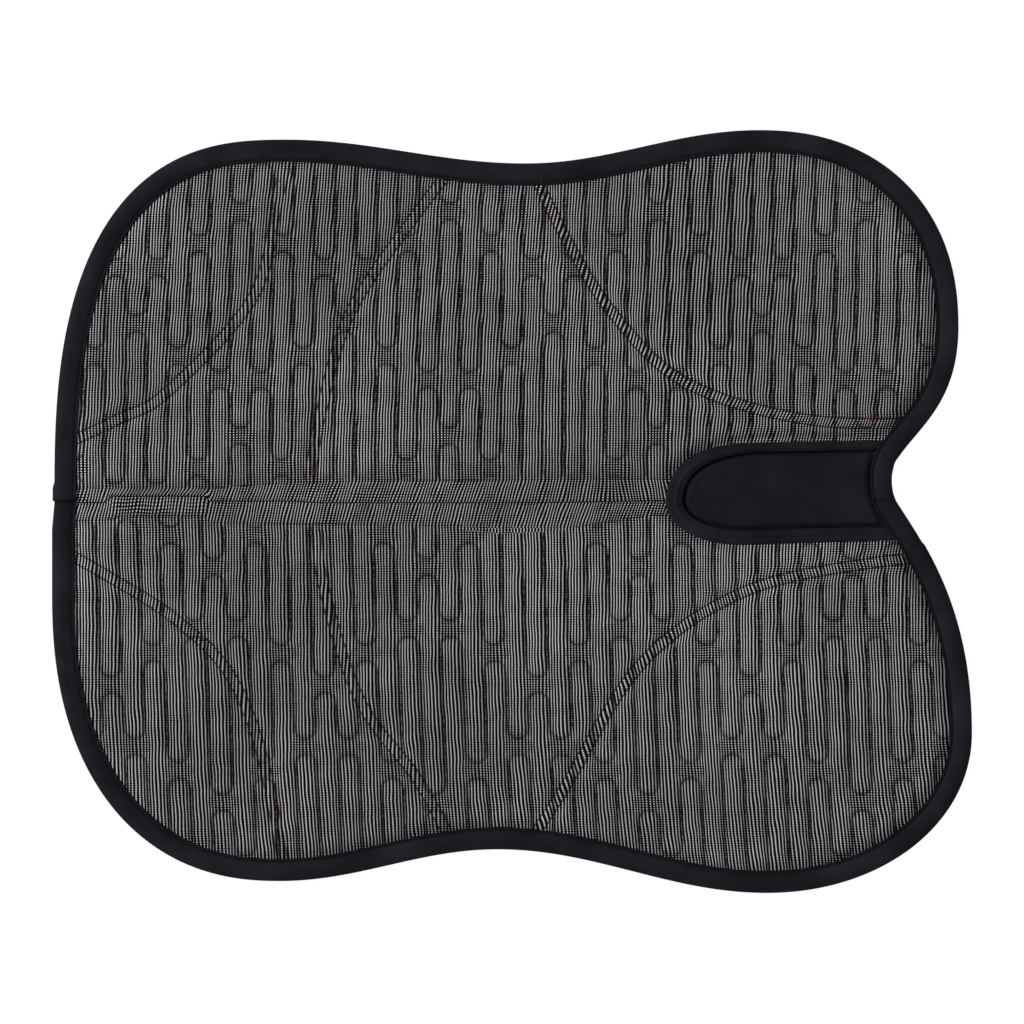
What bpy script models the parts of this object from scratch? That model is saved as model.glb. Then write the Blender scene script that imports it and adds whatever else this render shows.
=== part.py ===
"""Therapy half pad: a padded saddle pad in two halves that fold along the spine.

Metres. +X points to the withers, +Y to the off (right) side, +Z up. The pad lies flat on its outer
side, with the quilted lining up. The origin is at the middle of its underside.

Each half is drawn in its own plan: x runs along the spine, and v is the distance from the spine,
outwards. A half is built up in layers: cover, wadding, quilt backing, quilted lining.
"""

import math

import bmesh
import bpy
from mathutils import Matrix, Vector
from mathutils.geometry import delaunay_2d_cdt, intersect_line_line_2d

# Layers, from the floor up
CLEARANCE = 0.0003
COVER_THICKNESS = 0.0008
WADDING_THICKNESS = 0.0052
BACKING_THICKNESS = 0.0005
LINING_LOFT = 0.0038
LINING_EDGE_THICKNESS = 0.0008
INSERT_THICKNESS = 0.0008
TAPE_THICKNESS = 0.0009
BINDING_THICKNESS = 0.0009

# Bindings and seams
EDGE_BINDING_WIDTH = 0.014
WITHERS_BINDING_WIDTH = 0.0088
SPINE_TAPE_HALF_WIDTH = 0.0125
INSERT_LAP = 0.007
MOUTH_GAP = 0.001
BEVEL_RUN = 0.0055
COVER_RISE_RUN = 0.004
INSERT_RISE_RUN = 0.003

# Plan of the whole pad
PAD_LENGTH = 0.580
NOTCH_DEPTH = 0.047

# Plan of the off half, measured along the spine from its ends and outwards from the spine
OFF_REAR_SETBACK = 0.0015
OFF_REAR_CORNER_START = 0.005
OFF_REAR_PEAK_FROM_REAR = 0.1475
OFF_REAR_REACH = 0.228
OFF_REAR_FULLNESS = 2.63
OFF_WAIST_FROM_REAR = 0.2985
OFF_WAIST_REACH = 0.213
OFF_FRONT_PEAK_FROM_FRONT = 0.134
OFF_FRONT_REACH = 0.234
OFF_FRONT_SETBACK = 0.0085
OFF_FRONT_TIP_FROM_SPINE = 0.110
OFF_FRONT_FULLNESS = 2.22
OFF_FLANK_PULL = 0.0555
OFF_NOTCH_BACK = 0.005
OFF_NOTCH_FROM_SPINE = 0.017
OFF_NOTCH_PULL = (0.0095, 0.0255)

# Plan of the near half
NEAR_REAR_SETBACK = 0.0
NEAR_REAR_CORNER_START = 0.0585
NEAR_REAR_PEAK_FROM_REAR = 0.1435
NEAR_REAR_REACH = 0.2395
NEAR_REAR_FULLNESS = 2.29
NEAR_WAIST_FROM_REAR = 0.281
NEAR_WAIST_REACH = 0.2195
NEAR_FRONT_PEAK_FROM_FRONT = 0.1295
NEAR_FRONT_REACH = 0.247
NEAR_FRONT_SETBACK = 0.0
NEAR_FRONT_TIP_FROM_SPINE = 0.146
NEAR_FRONT_FULLNESS = 2.04
NEAR_FLANK_PULL = 0.0805
NEAR_NOTCH_PULL = (0.016, 0.0255)

# Opening over the withers, a U with its round end to the rear
THROAT_LENGTH = 0.182
OFF_THROAT_SHOULDER = 0.060
OFF_THROAT_HALF_WIDTH = 0.031
OFF_THROAT_MOUTH_HALF_WIDTH = 0.033
OFF_THROAT_FULLNESS = 2.4
NEAR_THROAT_SHOULDER = 0.037
NEAR_THROAT_HALF_WIDTH = 0.018
NEAR_THROAT_MOUTH_HALF_WIDTH = 0.0145
NEAR_THROAT_FULLNESS = 2.0

# Quilting of the lining: long fingers side by side, each cut by short flat bridges
FINGER_RELIEF = 0.0018
CREST_HALF_WIDTH = 0.0036
BRIDGE_LENGTH = 0.0115
FINGER_ROUND = 0.005
BRIDGE_STEPS = (0.0, 0.0202, 0.0353, 0.0353, 0.0202)
OFF_FINGER_PITCH = 0.01315
OFF_FINGER_ORIGIN_FROM_REAR = 0.1184
OFF_FINGER_LEAN = 0.0062
OFF_BRIDGE_ROW_START = 0.0412
OFF_BRIDGE_ROW_PITCH = 0.0707
NEAR_FINGER_PITCH = 0.01343
NEAR_FINGER_ORIGIN_FROM_REAR = 0.1006
NEAR_FINGER_LEAN = 0.0377
NEAR_BRIDGE_ROW_START = 0.0416
NEAR_BRIDGE_ROW_PITCH = 0.0741

# Sewn channels that shape each half: rear, middle and front, through all layers
CHANNEL_DEPTH = 0.0027
CHANNEL_HALF_WIDTH = 0.0045
OFF_REAR_CHANNEL = ((0.004, 0.034), (0.0425, 0.052), (0.0725, 0.0686), (0.1267, 0.1285),
                    (0.1425, 0.1916), (0.150, 0.232))
OFF_MIDDLE_CHANNEL = ((0.1608, 0.002), (0.169, 0.0529), (0.1879, 0.1184), (0.2301, 0.1815),
                      (0.262, 0.222))
OFF_FRONT_CHANNEL = ((0.295, 0.227), (0.3203, 0.1727), (0.3537, 0.1184), (0.4003, 0.0743),
                     (0.4797, 0.051), (0.572, 0.050))
NEAR_REAR_CHANNEL = ((0.003, 0.029), (0.0366, 0.048), (0.0763, 0.0732), (0.1103, 0.1066),
                     (0.1311, 0.1551), (0.1448, 0.2232), (0.146, 0.245))
NEAR_MIDDLE_CHANNEL = ((0.166, 0.002), (0.1709, 0.0518), (0.1942, 0.1255), (0.2320, 0.1778),
                       (0.262, 0.235))
NEAR_FRONT_CHANNEL = ((0.288, 0.235), (0.3222, 0.1822), (0.3707, 0.1034), (0.4356, 0.0574),
                      (0.5201, 0.0385), (0.585, 0.035))

# Steps that the curves are drawn in, and the shortest pieces of line that the quilting keeps
SHORTEST_RUN = 0.008
SHORTEST_STEP = 0.002
STEEPEST_CROSSING = 0.35
CORNER_STEPS = 9
SIDE_STEPS = 5
FLANK_STEPS = 6
THROAT_STEPS = 6
CHANNEL_STEPS = 3

# Heights that follow from the layers
SPINE_GAP = CLEARANCE / 2
INSERT_BOTTOM = CLEARANCE
LEG_BOTTOM = INSERT_BOTTOM + INSERT_THICKNESS + CLEARANCE
COVER_EDGE_BOTTOM = LEG_BOTTOM + max(BINDING_THICKNESS, TAPE_THICKNESS) + CLEARANCE
LINING_EDGE_BOTTOM = COVER_EDGE_BOTTOM + COVER_THICKNESS + CLEARANCE
LINING_EDGE_TOP = LINING_EDGE_BOTTOM + LINING_EDGE_THICKNESS
LEG_TOP = LINING_EDGE_TOP + CLEARANCE + BINDING_THICKNESS
WADDING_BOTTOM = COVER_THICKNESS + CLEARANCE
BACKING_BOTTOM = WADDING_BOTTOM + WADDING_THICKNESS + CLEARANCE
LINING_BOTTOM = BACKING_BOTTOM + BACKING_THICKNESS + CLEARANCE
LINING_TOP = max(LINING_BOTTOM + LINING_LOFT, LEG_TOP)
SPINE_AXIS_HEIGHT = LINING_TOP + CLEARANCE

# Places that follow from the plan
REAR_X = -PAD_LENGTH / 2
FRONT_X = PAD_LENGTH / 2
SPINE_Y = (NEAR_FRONT_REACH - OFF_FRONT_REACH) / 2
NOTCH_X = FRONT_X - NOTCH_DEPTH
THROAT_TIP_X = FRONT_X - THROAT_LENGTH
CUT_INSET = BINDING_THICKNESS + CLEARANCE
EDGE_PRESSED = EDGE_BINDING_WIDTH + CLEARANCE
THROAT_PRESSED = WITHERS_BINDING_WIDTH + CLEARANCE
SPINE_PRESSED = SPINE_TAPE_HALF_WIDTH + CLEARANCE
CORE_START = BEVEL_RUN + CLEARANCE
MM = 1000.0


class Half:
    """One half of the pad: its sizes, and the side of the spine that it lies on."""

    def __init__(self, name, side, sizes):
        self.name = name
        self.side = side
        self.__dict__.update(sizes)

    def place(self, x, v, z):
        """World point of a plan point at height z."""
        return Vector((x, SPINE_Y + self.side * v, z))


OFF = Half("off", 1, {
    "rear_x": REAR_X + OFF_REAR_SETBACK,
    "corner_start": OFF_REAR_CORNER_START,
    "rear_peak": (REAR_X + OFF_REAR_PEAK_FROM_REAR, OFF_REAR_REACH),
    "rear_fullness": OFF_REAR_FULLNESS,
    "waist": (REAR_X + OFF_WAIST_FROM_REAR, OFF_WAIST_REACH),
    "front_peak": (FRONT_X - OFF_FRONT_PEAK_FROM_FRONT, OFF_FRONT_REACH),
    "front_tip": (FRONT_X - OFF_FRONT_SETBACK, OFF_FRONT_TIP_FROM_SPINE),
    "front_fullness": OFF_FRONT_FULLNESS,
    "flank_pull": OFF_FLANK_PULL,
    "notch": (NOTCH_X - OFF_NOTCH_BACK, OFF_NOTCH_FROM_SPINE),
    "notch_pull": OFF_NOTCH_PULL,
    "shoulder": OFF_THROAT_SHOULDER,
    "throat_half_width": OFF_THROAT_HALF_WIDTH,
    "mouth_half_width": OFF_THROAT_MOUTH_HALF_WIDTH,
    "throat_fullness": OFF_THROAT_FULLNESS,
    "pitch": OFF_FINGER_PITCH,
    "finger_origin": REAR_X + OFF_FINGER_ORIGIN_FROM_REAR,
    "finger_lean": OFF_FINGER_LEAN,
    "row_start": OFF_BRIDGE_ROW_START,
    "row_pitch": OFF_BRIDGE_ROW_PITCH,
    "channels": (OFF_REAR_CHANNEL, OFF_MIDDLE_CHANNEL, OFF_FRONT_CHANNEL),
})
NEAR = Half("near", -1, {
    "rear_x": REAR_X + NEAR_REAR_SETBACK,
    "corner_start": NEAR_REAR_CORNER_START,
    "rear_peak": (REAR_X + NEAR_REAR_PEAK_FROM_REAR, NEAR_REAR_REACH),
    "rear_fullness": NEAR_REAR_FULLNESS,
    "waist": (REAR_X + NEAR_WAIST_FROM_REAR, NEAR_WAIST_REACH),
    "front_peak": (FRONT_X - NEAR_FRONT_PEAK_FROM_FRONT, NEAR_FRONT_REACH),
    "front_tip": (FRONT_X - NEAR_FRONT_SETBACK, NEAR_FRONT_TIP_FROM_SPINE),
    "front_fullness": NEAR_FRONT_FULLNESS,
    "flank_pull": NEAR_FLANK_PULL,
    "notch": (NOTCH_X, 0.0),
    "notch_pull": NEAR_NOTCH_PULL,
    "shoulder": NEAR_THROAT_SHOULDER,
    "throat_half_width": NEAR_THROAT_HALF_WIDTH,
    "mouth_half_width": NEAR_THROAT_MOUTH_HALF_WIDTH,
    "throat_fullness": NEAR_THROAT_FULLNESS,
    "pitch": NEAR_FINGER_PITCH,
    "finger_origin": REAR_X + NEAR_FINGER_ORIGIN_FROM_REAR,
    "finger_lean": NEAR_FINGER_LEAN,
    "row_start": NEAR_BRIDGE_ROW_START,
    "row_pitch": NEAR_BRIDGE_ROW_PITCH,
    "channels": (NEAR_REAR_CHANNEL, NEAR_MIDDLE_CHANNEL, NEAR_FRONT_CHANNEL),
})
HALVES = (NEAR, OFF)


# Lines in the plan

def superellipse(centre, across, along, fullness, steps):
    """Quarter of a superellipse from centre + across to centre + along."""
    points = []
    for step in range(steps + 1):
        turn = math.pi / 2 * step / steps
        part_a = max(math.cos(turn), 0.0) ** (2 / fullness)
        part_b = max(math.sin(turn), 0.0) ** (2 / fullness)
        points.append((centre[0] + across[0] * part_a + along[0] * part_b,
                       centre[1] + across[1] * part_a + along[1] * part_b))
    return points


def ease(start, end, steps):
    """A soft S from start to end, level at both."""
    points = []
    for step in range(steps + 1):
        part = step / steps
        rise = (1 - math.cos(math.pi * part)) / 2
        points.append((start[0] + (end[0] - start[0]) * part, start[1] + (end[1] - start[1]) * rise))
    return points


def bezier(p0, p1, p2, p3, steps):
    """Cubic curve through p0 and p3."""
    points = []
    for step in range(steps + 1):
        t = step / steps
        weights = ((1 - t) ** 3, 3 * t * (1 - t) ** 2, 3 * t * t * (1 - t), t ** 3)
        corners = (p0, p1, p2, p3)
        points.append(tuple(sum(w * c[axis] for w, c in zip(weights, corners)) for axis in (0, 1)))
    return points


def smooth_line(knots, steps):
    """Curve through all knots."""
    points = []
    for index in range(len(knots) - 1):
        before = knots[max(index - 1, 0)]
        start, end = knots[index], knots[index + 1]
        after = knots[min(index + 2, len(knots) - 1)]
        for step in range(steps):
            t = step / steps
            point = []
            for axis in (0, 1):
                slope = (end[axis] - before[axis]) / 2
                next_slope = (after[axis] - start[axis]) / 2
                value = start[axis] * (2 * t ** 3 - 3 * t ** 2 + 1) + end[axis] * (3 * t ** 2 - 2 * t ** 3)
                value += slope * (t ** 3 - 2 * t ** 2 + t) + next_slope * (t ** 3 - t ** 2)
                point.append(value)
            points.append(tuple(point))
    points.append(tuple(knots[-1]))
    return points


def join(*lines):
    """One line from lines that follow each other."""
    points = []
    for line in lines:
        for point in line:
            if not points or math.dist(point, points[-1]) > CLEARANCE:
                points.append(point)
    return points


def offset(line, distance):
    """The line moved to its right by distance, with mitred corners."""
    moved = []
    for index, point in enumerate(line):
        normals = []
        for a, b in ((index - 1, index), (index, index + 1)):
            if a >= 0 and b < len(line):
                length = math.dist(line[a], line[b])
                normals.append(((line[b][1] - line[a][1]) / length, (line[a][0] - line[b][0]) / length))
        nx = sum(n[0] for n in normals)
        ny = sum(n[1] for n in normals)
        scale = 2 / (nx * nx + ny * ny) if len(normals) == 2 else 1.0
        moved.append((point[0] + nx * scale * distance, point[1] + ny * scale * distance))
    return moved


def crossing(line_a, line_b):
    """First place where line_a meets line_b: index in each, and the point."""
    for i in range(len(line_a) - 1):
        for j in range(len(line_b) - 1):
            hit = meet(line_a[i], line_a[i + 1], line_b[j], line_b[j + 1])
            if hit is not None:
                return i, j, hit
    return None


def meet(a, b, c, d):
    """Point where two straight runs cross, or None."""
    corners = [Vector((p[0] * MM, p[1] * MM)) for p in (a, b, c, d)]
    hit = intersect_line_line_2d(*corners)
    return None if hit is None else (hit.x / MM, hit.y / MM)


def start_at(line, v):
    """The line cut or moved so that it starts exactly at distance v from the spine."""
    first = next(index for index, point in enumerate(line) if point[1] > v + CLEARANCE)
    a, b = line[max(first - 1, 0)], line[first]
    if first == 0:
        a, b = line[0], line[1]
    part = (v - a[1]) / (b[1] - a[1])
    return [(a[0] + (b[0] - a[0]) * part, v)] + line[first:]


def end_at(line, v):
    """The line cut or moved so that it ends exactly at distance v from the spine."""
    return start_at(line[::-1], v)[::-1]


def near_distance(point, line):
    """Shortest distance from a point to a line."""
    best = math.inf
    for a, b in zip(line, line[1:]):
        dx, dy = b[0] - a[0], b[1] - a[1]
        span = dx * dx + dy * dy
        part = ((point[0] - a[0]) * dx + (point[1] - a[1]) * dy) / span if span else 0.0
        part = min(max(part, 0.0), 1.0)
        best = min(best, math.dist(point, (a[0] + dx * part, a[1] + dy * part)))
    return best


def inside(point, ring):
    """True where a point lies in a closed ring."""
    odd = False
    for a, b in zip(ring, ring[1:] + ring[:1]):
        if (a[1] > point[1]) != (b[1] > point[1]):
            if point[0] < a[0] + (b[0] - a[0]) * (point[1] - a[1]) / (b[1] - a[1]):
                odd = not odd
    return odd


# Plan of one half

def outer_edge(half):
    """Finished edge, from the rear end of the spine round to the notch."""
    peak, waist, front, tip = half.rear_peak, half.waist, half.front_peak, half.front_tip
    corner = superellipse((peak[0], half.corner_start), (half.rear_x - peak[0], 0),
                          (0, peak[1] - half.corner_start), half.rear_fullness, CORNER_STEPS)
    nose = superellipse((front[0], tip[1]), (0, front[1] - tip[1]), (tip[0] - front[0], 0),
                        half.front_fullness, CORNER_STEPS)
    notch = half.notch
    flank = bezier(tip, (tip[0], tip[1] - half.flank_pull),
                   (notch[0] + half.notch_pull[0], notch[1] + half.notch_pull[1]), notch, FLANK_STEPS)
    return join([(half.rear_x, 0.0)], corner, ease(peak, waist, SIDE_STEPS),
                ease(waist, front, SIDE_STEPS), nose, flank, [(NOTCH_X, 0.0)])


def edge_line(half, inset):
    """Line inside the finished edge, ending at the spine gap."""
    return end_at(start_at(offset(outer_edge(half), inset), SPINE_GAP), SPINE_GAP)


def throat_edge(half):
    """Finished edge of the opening over the withers, from its tip to past the notch."""
    shoulder = (THROAT_TIP_X + half.shoulder, 0.0)
    bow = superellipse(shoulder, (-half.shoulder, 0), (0, half.throat_half_width),
                       half.throat_fullness, THROAT_STEPS)
    return join(bow, [(FRONT_X, half.mouth_half_width)])


def throat_line(half, outset):
    """Line outside the opening, in the padded layers."""
    line = offset(throat_edge(half), -outset)
    return [(THROAT_TIP_X - outset, 0.0)] + line[1:]


def layer_ring(half, edge_inset, spine_inset, throat_outset):
    """Closed plan of a layer, with its own distance from each kind of edge."""
    edge = start_at(offset(outer_edge(half), edge_inset), spine_inset)
    throat = start_at(throat_line(half, throat_outset), spine_inset)
    i, j, corner = crossing(edge[::-1], throat)
    kept = len(edge) - 1 - i
    ring = edge[:kept] + [corner] + throat[:j + 1][::-1]
    return ring


def cut_ring(half):
    """Plan of a layer that reaches into the bindings."""
    return layer_ring(half, CUT_INSET, SPINE_GAP, CUT_INSET)


def padded_ring(half, past):
    """Plan at a distance past the pressed edges."""
    return layer_ring(half, EDGE_PRESSED + past, SPINE_PRESSED + past, THROAT_PRESSED + past)


def past_pressed(half, point):
    """How far a point lies past the pressed edges."""
    return min(near_distance(point, half.edge) - EDGE_PRESSED,
               near_distance(point, half.throat) - THROAT_PRESSED,
               point[1] - SPINE_PRESSED)


def ramp(value, start, end, low, high):
    """Height that rises from low at start to high at end."""
    part = min(max((value - start) / (end - start), 0.0), 1.0)
    return low + (high - low) * part


# Quilting

def bridge_centres(half, column, limit):
    """Distances from the spine at which a column of quilting is cut by a bridge."""
    centres = []
    for row in range(math.ceil(limit / half.row_pitch) + 2):
        phase = column - len(BRIDGE_STEPS) * (row % 2)
        if phase % 2 == 0:
            step = BRIDGE_STEPS[(phase // 2) % len(BRIDGE_STEPS)]
            centres.append(half.row_start + row * half.row_pitch - step)
    return centres


def plan_point(half, column, v):
    """Plan point of a column of quilting at distance v from the spine."""
    return half.finger_origin + half.pitch * column + half.finger_lean * v, v


def spans(half, column, ring, limit):
    """Stretches of a column's line that lie inside a ring, as pairs of distances from the spine."""
    start, end = plan_point(half, column, 0.0), plan_point(half, column, limit)
    cuts = [hit[1] for a, b in zip(ring, ring[1:] + ring[:1]) if (hit := meet(start, end, a, b))]
    cuts.sort()
    pairs = [(low + CLEARANCE, high - CLEARANCE) for low, high in zip(cuts[::2], cuts[1::2])]
    return [pair for pair in pairs if pair[1] - pair[0] > SHORTEST_RUN]


def channel_bands(half, column, channels, limit):
    """Where the sewn channels cross a column's line: distance from the spine and half width."""
    start, end = plan_point(half, column, 0.0), plan_point(half, column, limit)
    bands = []
    for channel in channels:
        for a, b in zip(channel, channel[1:]):
            hit = meet(start, end, a, b)
            if hit is not None:
                across = abs(b[0] - a[0]) / math.dist(a, b)
                bands.append((hit[1], CHANNEL_HALF_WIDTH / max(across, STEEPEST_CROSSING)))
    return bands


def run(half, column, low, high, sink, bands):
    """Line along a column from low to high, with a point on each bank of every channel."""
    stations = [low, high]
    for centre, reach in bands:
        stations += [v for v in (centre - reach, centre + reach) if low < v < high]
    stations.sort()
    kept = stations[:1]
    for v in stations[1:]:
        if v - kept[-1] > SHORTEST_STEP:
            kept.append(v)
    return [(plan_point(half, column, v), sink) for v in kept]


def finger_lines(half, column, ring, channels, limit):
    """Both edges of each finger's flat top, drawn together at the round ends."""
    bridges = bridge_centres(half, column, limit)
    starts = [-math.inf] + [centre + BRIDGE_LENGTH / 2 for centre in bridges]
    ends = [centre - BRIDGE_LENGTH / 2 for centre in bridges] + [math.inf]
    lines = []
    for side in (-1, 1):
        edge = column + side * CREST_HALF_WIDTH / half.pitch
        bands = channel_bands(half, edge, channels, limit)
        for low, high in spans(half, edge, ring, limit):
            for start, end in zip(starts, ends):
                first = max(low, start + FINGER_ROUND)
                last = min(high, end - FINGER_ROUND)
                if last - first < SHORTEST_RUN:
                    continue
                line = run(half, edge, first, last, 0.0, bands)
                if start > low and clear_of(start, bands):
                    line.insert(0, (plan_point(half, column, start), FINGER_RELIEF))
                if end < high and clear_of(end, bands):
                    line.append((plan_point(half, column, end), FINGER_RELIEF))
                lines.append(line)
    return lines


def clear_of(v, bands):
    """True where a distance from the spine lies outside every channel."""
    return all(abs(v - centre) > reach for centre, reach in bands)


def quilt_lines(half, ring, channels):
    """Fingers and the stitched grooves between them, inside a ring."""
    low = min(point[0] for point in ring)
    high = max(point[0] for point in ring)
    limit = max(point[1] for point in ring)
    first = math.floor((low - half.finger_lean * limit - half.finger_origin) / half.pitch)
    last = math.ceil((high - half.finger_origin) / half.pitch)
    lines = []
    for column in range(first, last + 1):
        lines += finger_lines(half, column, ring, channels, limit)
        groove = column + 0.5
        bands = channel_bands(half, groove, channels, limit)
        for start, end in spans(half, groove, ring, limit):
            lines.append(run(half, groove, start, end, FINGER_RELIEF, bands))
    return lines


def channel_lines(half, ring):
    """The sewn channels, cut to a ring."""
    lines = []
    for knots in half.channels:
        line = smooth_line([(REAR_X + x, v) for x, v in knots], CHANNEL_STEPS)
        kept = [point for point in line if inside(point, ring)]
        first = line.index(kept[0])
        last = line.index(kept[-1])
        closed = ring + ring[:1]
        head = crossing(line[first - 1:first + 1], closed)
        tail = crossing(line[last:last + 2], closed)
        lines.append(([head[2]] if head else []) + kept + ([tail[2]] if tail else []))
    return lines


# Solids

def finish(name, mesh_data, colour, roughness):
    """Put a closed mesh in the scene as one named piece with its own material."""
    bmesh.ops.recalc_face_normals(mesh_data, faces=mesh_data.faces)
    if mesh_data.calc_volume(signed=True) < 0:
        bmesh.ops.reverse_faces(mesh_data, faces=mesh_data.faces)
    mesh = bpy.data.meshes.new(name)
    mesh_data.to_mesh(mesh)
    mesh_data.free()
    piece = bpy.data.objects.new(name, mesh)
    bpy.context.scene.collection.objects.link(piece)
    material = bpy.data.materials.new(name + "_material")
    material.use_nodes = True
    shader = material.node_tree.nodes["Principled BSDF"]
    shader.inputs["Base Color"].default_value = (*colour, 1.0)
    shader.inputs["Roughness"].default_value = roughness
    shader.inputs["Metallic"].default_value = 0.0
    mesh.materials.append(material)
    return piece


def triangulate(ring, inner_rings, lines):
    """Triangles inside a ring that keep every inner ring and line as edges."""
    points = list(ring)
    edges = []
    marks = {}
    for inner in inner_rings:
        base = len(points)
        points += inner
        edges += [(base + i, base + (i + 1) % len(inner)) for i in range(len(inner))]
    for line in lines:
        base = len(points)
        for index, (point, sink) in enumerate(line):
            points.append(point)
            marks[base + index] = sink
        edges += [(base + i, base + i + 1) for i in range(len(line) - 1)]
    flat = [Vector((x * MM, v * MM)) for x, v in points]
    found = delaunay_2d_cdt(flat, edges, [list(range(len(ring)))], 1, 0.001)
    places, faces, sources = found[0], found[2], found[3]
    rim = {}
    sinks = {}
    for index, source in enumerate(sources):
        for item in source:
            if item < len(ring):
                rim[item] = index
            if item in marks:
                sinks[index] = max(sinks.get(index, 0.0), marks[item])
    plan = [(place.x / MM, place.y / MM) for place in places]
    return plan, faces, [rim[item] for item in range(len(ring))], sinks


def layer(name, half, ring, top, bottom, colour, roughness):
    """A closed layer between a top and a bottom surface that share one rim.

    Each surface is (inner rings, lines, height), where height takes a plan point and its sink.
    """
    data = bmesh.new()
    rims = []
    for inner_rings, lines, height in (top, bottom):
        plan, faces, rim, sinks = triangulate(ring, inner_rings, lines)
        corners = []
        for index, (x, v) in enumerate(plan):
            corners.append(data.verts.new(half.place(x, v, height((x, v), sinks.get(index)))))
        for face in faces:
            data.faces.new([corners[i] for i in face])
        rims.append([corners[i] for i in rim])
    count = len(ring)
    for i in range(count):
        j = (i + 1) % count
        data.faces.new((rims[0][i], rims[0][j], rims[1][j], rims[1][i]))
    return finish(name, data, colour, roughness)


def make_cover(half):
    """Outer cloth: flat on the floor, and stepped up where bindings and tape go under its edge."""
    ring = cut_ring(half)
    inner = [padded_ring(half, CLEARANCE), padded_ring(half, COVER_RISE_RUN)]

    def bottom(point, _sink):
        return ramp(past_pressed(half, point), CLEARANCE, COVER_RISE_RUN, COVER_EDGE_BOTTOM, 0.0)

    def top(point, sink):
        return bottom(point, sink) + COVER_THICKNESS

    return layer(f"{half.name}_cover", half, ring, (inner, [], top), (inner, [], bottom),
                 (0.012, 0.013, 0.016), 0.85)


def make_core(half):
    """Wadding and the backing cloth of the quilting on it, inside the pressed edges."""
    ring = padded_ring(half, CORE_START)
    pieces = []
    for name, low, thickness, colour in (
            ("wadding", WADDING_BOTTOM, WADDING_THICKNESS, (0.78, 0.77, 0.73)),
            ("quilt_backing", BACKING_BOTTOM, BACKING_THICKNESS, (0.60, 0.60, 0.58))):
        def bottom(_point, _sink, height=low):
            return height

        def top(_point, _sink, height=low + thickness):
            return height

        pieces.append(layer(f"{half.name}_{name}", half, ring, ([], [], top), ([], [], bottom), colour, 0.95))
    return pieces


def make_lining(half):
    """Quilted face cloth: pressed flat at its edges, with fingers, bridges and sewn channels."""
    ring = cut_ring(half)
    pressed = padded_ring(half, 0.0)
    raised = padded_ring(half, BEVEL_RUN)
    channels = channel_lines(half, raised)
    channel_marks = [[(point, CHANNEL_DEPTH) for point in line] for line in channels]
    lines = quilt_lines(half, raised, channels) + channel_marks

    def top(point, sink):
        past = past_pressed(half, point)
        crest = ramp(past, 0.0, BEVEL_RUN, LINING_EDGE_TOP, LINING_TOP)
        if sink is None:
            on_channel = any(near_distance(point, line) < CLEARANCE for line in channels)
            sink = CHANNEL_DEPTH if on_channel else 0.0
        return max(crest - sink, LINING_EDGE_TOP)

    def bottom(point, _sink):
        past = past_pressed(half, point)
        return ramp(past, CLEARANCE, BEVEL_RUN, LINING_EDGE_BOTTOM, LINING_BOTTOM)

    return layer(f"{half.name}_lining", half, ring, ([pressed, raised], lines, top),
                 ([padded_ring(half, CLEARANCE), raised], [], bottom), (0.13, 0.13, 0.135), 0.8)


def binding_profile(width):
    """Section of a folded binding: distance in from the finished edge, and height."""
    leg = BINDING_THICKNESS
    middle = (LEG_BOTTOM + LEG_TOP) / 2
    bulge = (LEG_TOP - LEG_BOTTOM) / 2
    rise = bulge * math.sin(math.pi / 4)
    return [(width, LEG_BOTTOM), (bulge, LEG_BOTTOM), (bulge - rise, middle - rise), (0.0, middle),
            (bulge - rise, middle + rise), (bulge, LEG_TOP), (width, LEG_TOP),
            (width, LEG_TOP - leg), (leg, LEG_TOP - leg), (leg, LEG_BOTTOM + leg),
            (width, LEG_BOTTOM + leg)]


def binding_cap():
    """Faces that close a binding's section, by corner number."""
    return (0, 1, 9, 10), (1, 2, 3, 9), (3, 8, 9), (3, 4, 5, 8), (5, 6, 7, 8)


def tape_cap():
    """Faces that close a tape's section, on either side of its fold."""
    return (0, 1, 4, 5), (1, 2, 3, 4)


def sweep(name, tracks, cap, colour, roughness):
    """Closed solid through tracks, one track of world points for each corner of its section."""
    data = bmesh.new()
    corners = [[data.verts.new(point) for point in track] for track in tracks]
    count = len(corners)
    length = len(corners[0])
    for i in range(count):
        j = (i + 1) % count
        for k in range(length - 1):
            data.faces.new((corners[i][k], corners[i][k + 1], corners[j][k + 1], corners[j][k]))
    for k in (0, length - 1):
        for face in cap:
            data.faces.new([corners[i][k] for i in face])
    return finish(name, data, colour, roughness)


def make_edge_binding(half):
    """Binding folded round the outer edge of one half."""
    tracks = []
    for inset, height in binding_profile(EDGE_BINDING_WIDTH):
        line = offset(outer_edge(half), inset)
        line[0] = (line[0][0], SPINE_GAP)
        line[-1] = at_spine(line[-2], line[-1])
        tracks.append([half.place(x, v, height) for x, v in line])
    return sweep(f"{half.name}_edge_binding", tracks, binding_cap(), (0.010, 0.010, 0.014), 0.6)


def at_spine(before, last):
    """The end of a line, moved along its run to the spine gap."""
    part = (SPINE_GAP - before[1]) / (last[1] - before[1])
    return (before[0] + (last[0] - before[0]) * part, SPINE_GAP)


def mouth_stop(half):
    """Line at which the band of the opening stops, just short of the edge binding."""
    return edge_line(half, EDGE_BINDING_WIDTH + MOUTH_GAP)


def make_withers_binding():
    """Band folded round the opening over the withers, from the notch round the tip and back."""
    tracks = []
    for outset, height in binding_profile(WITHERS_BINDING_WIDTH):
        arms = []
        for half in HALVES:
            line = throat_line(half, outset)
            i, _, end = crossing(line, mouth_stop(half))
            arms.append([half.place(x, v, height) for x, v in line[:i + 1] + [end]])
        near_arm, off_arm = arms
        tracks.append(near_arm[::-1] + off_arm[1:])
    sweep("withers_binding", tracks, binding_cap(), (0.010, 0.010, 0.014), 0.55)


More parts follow.
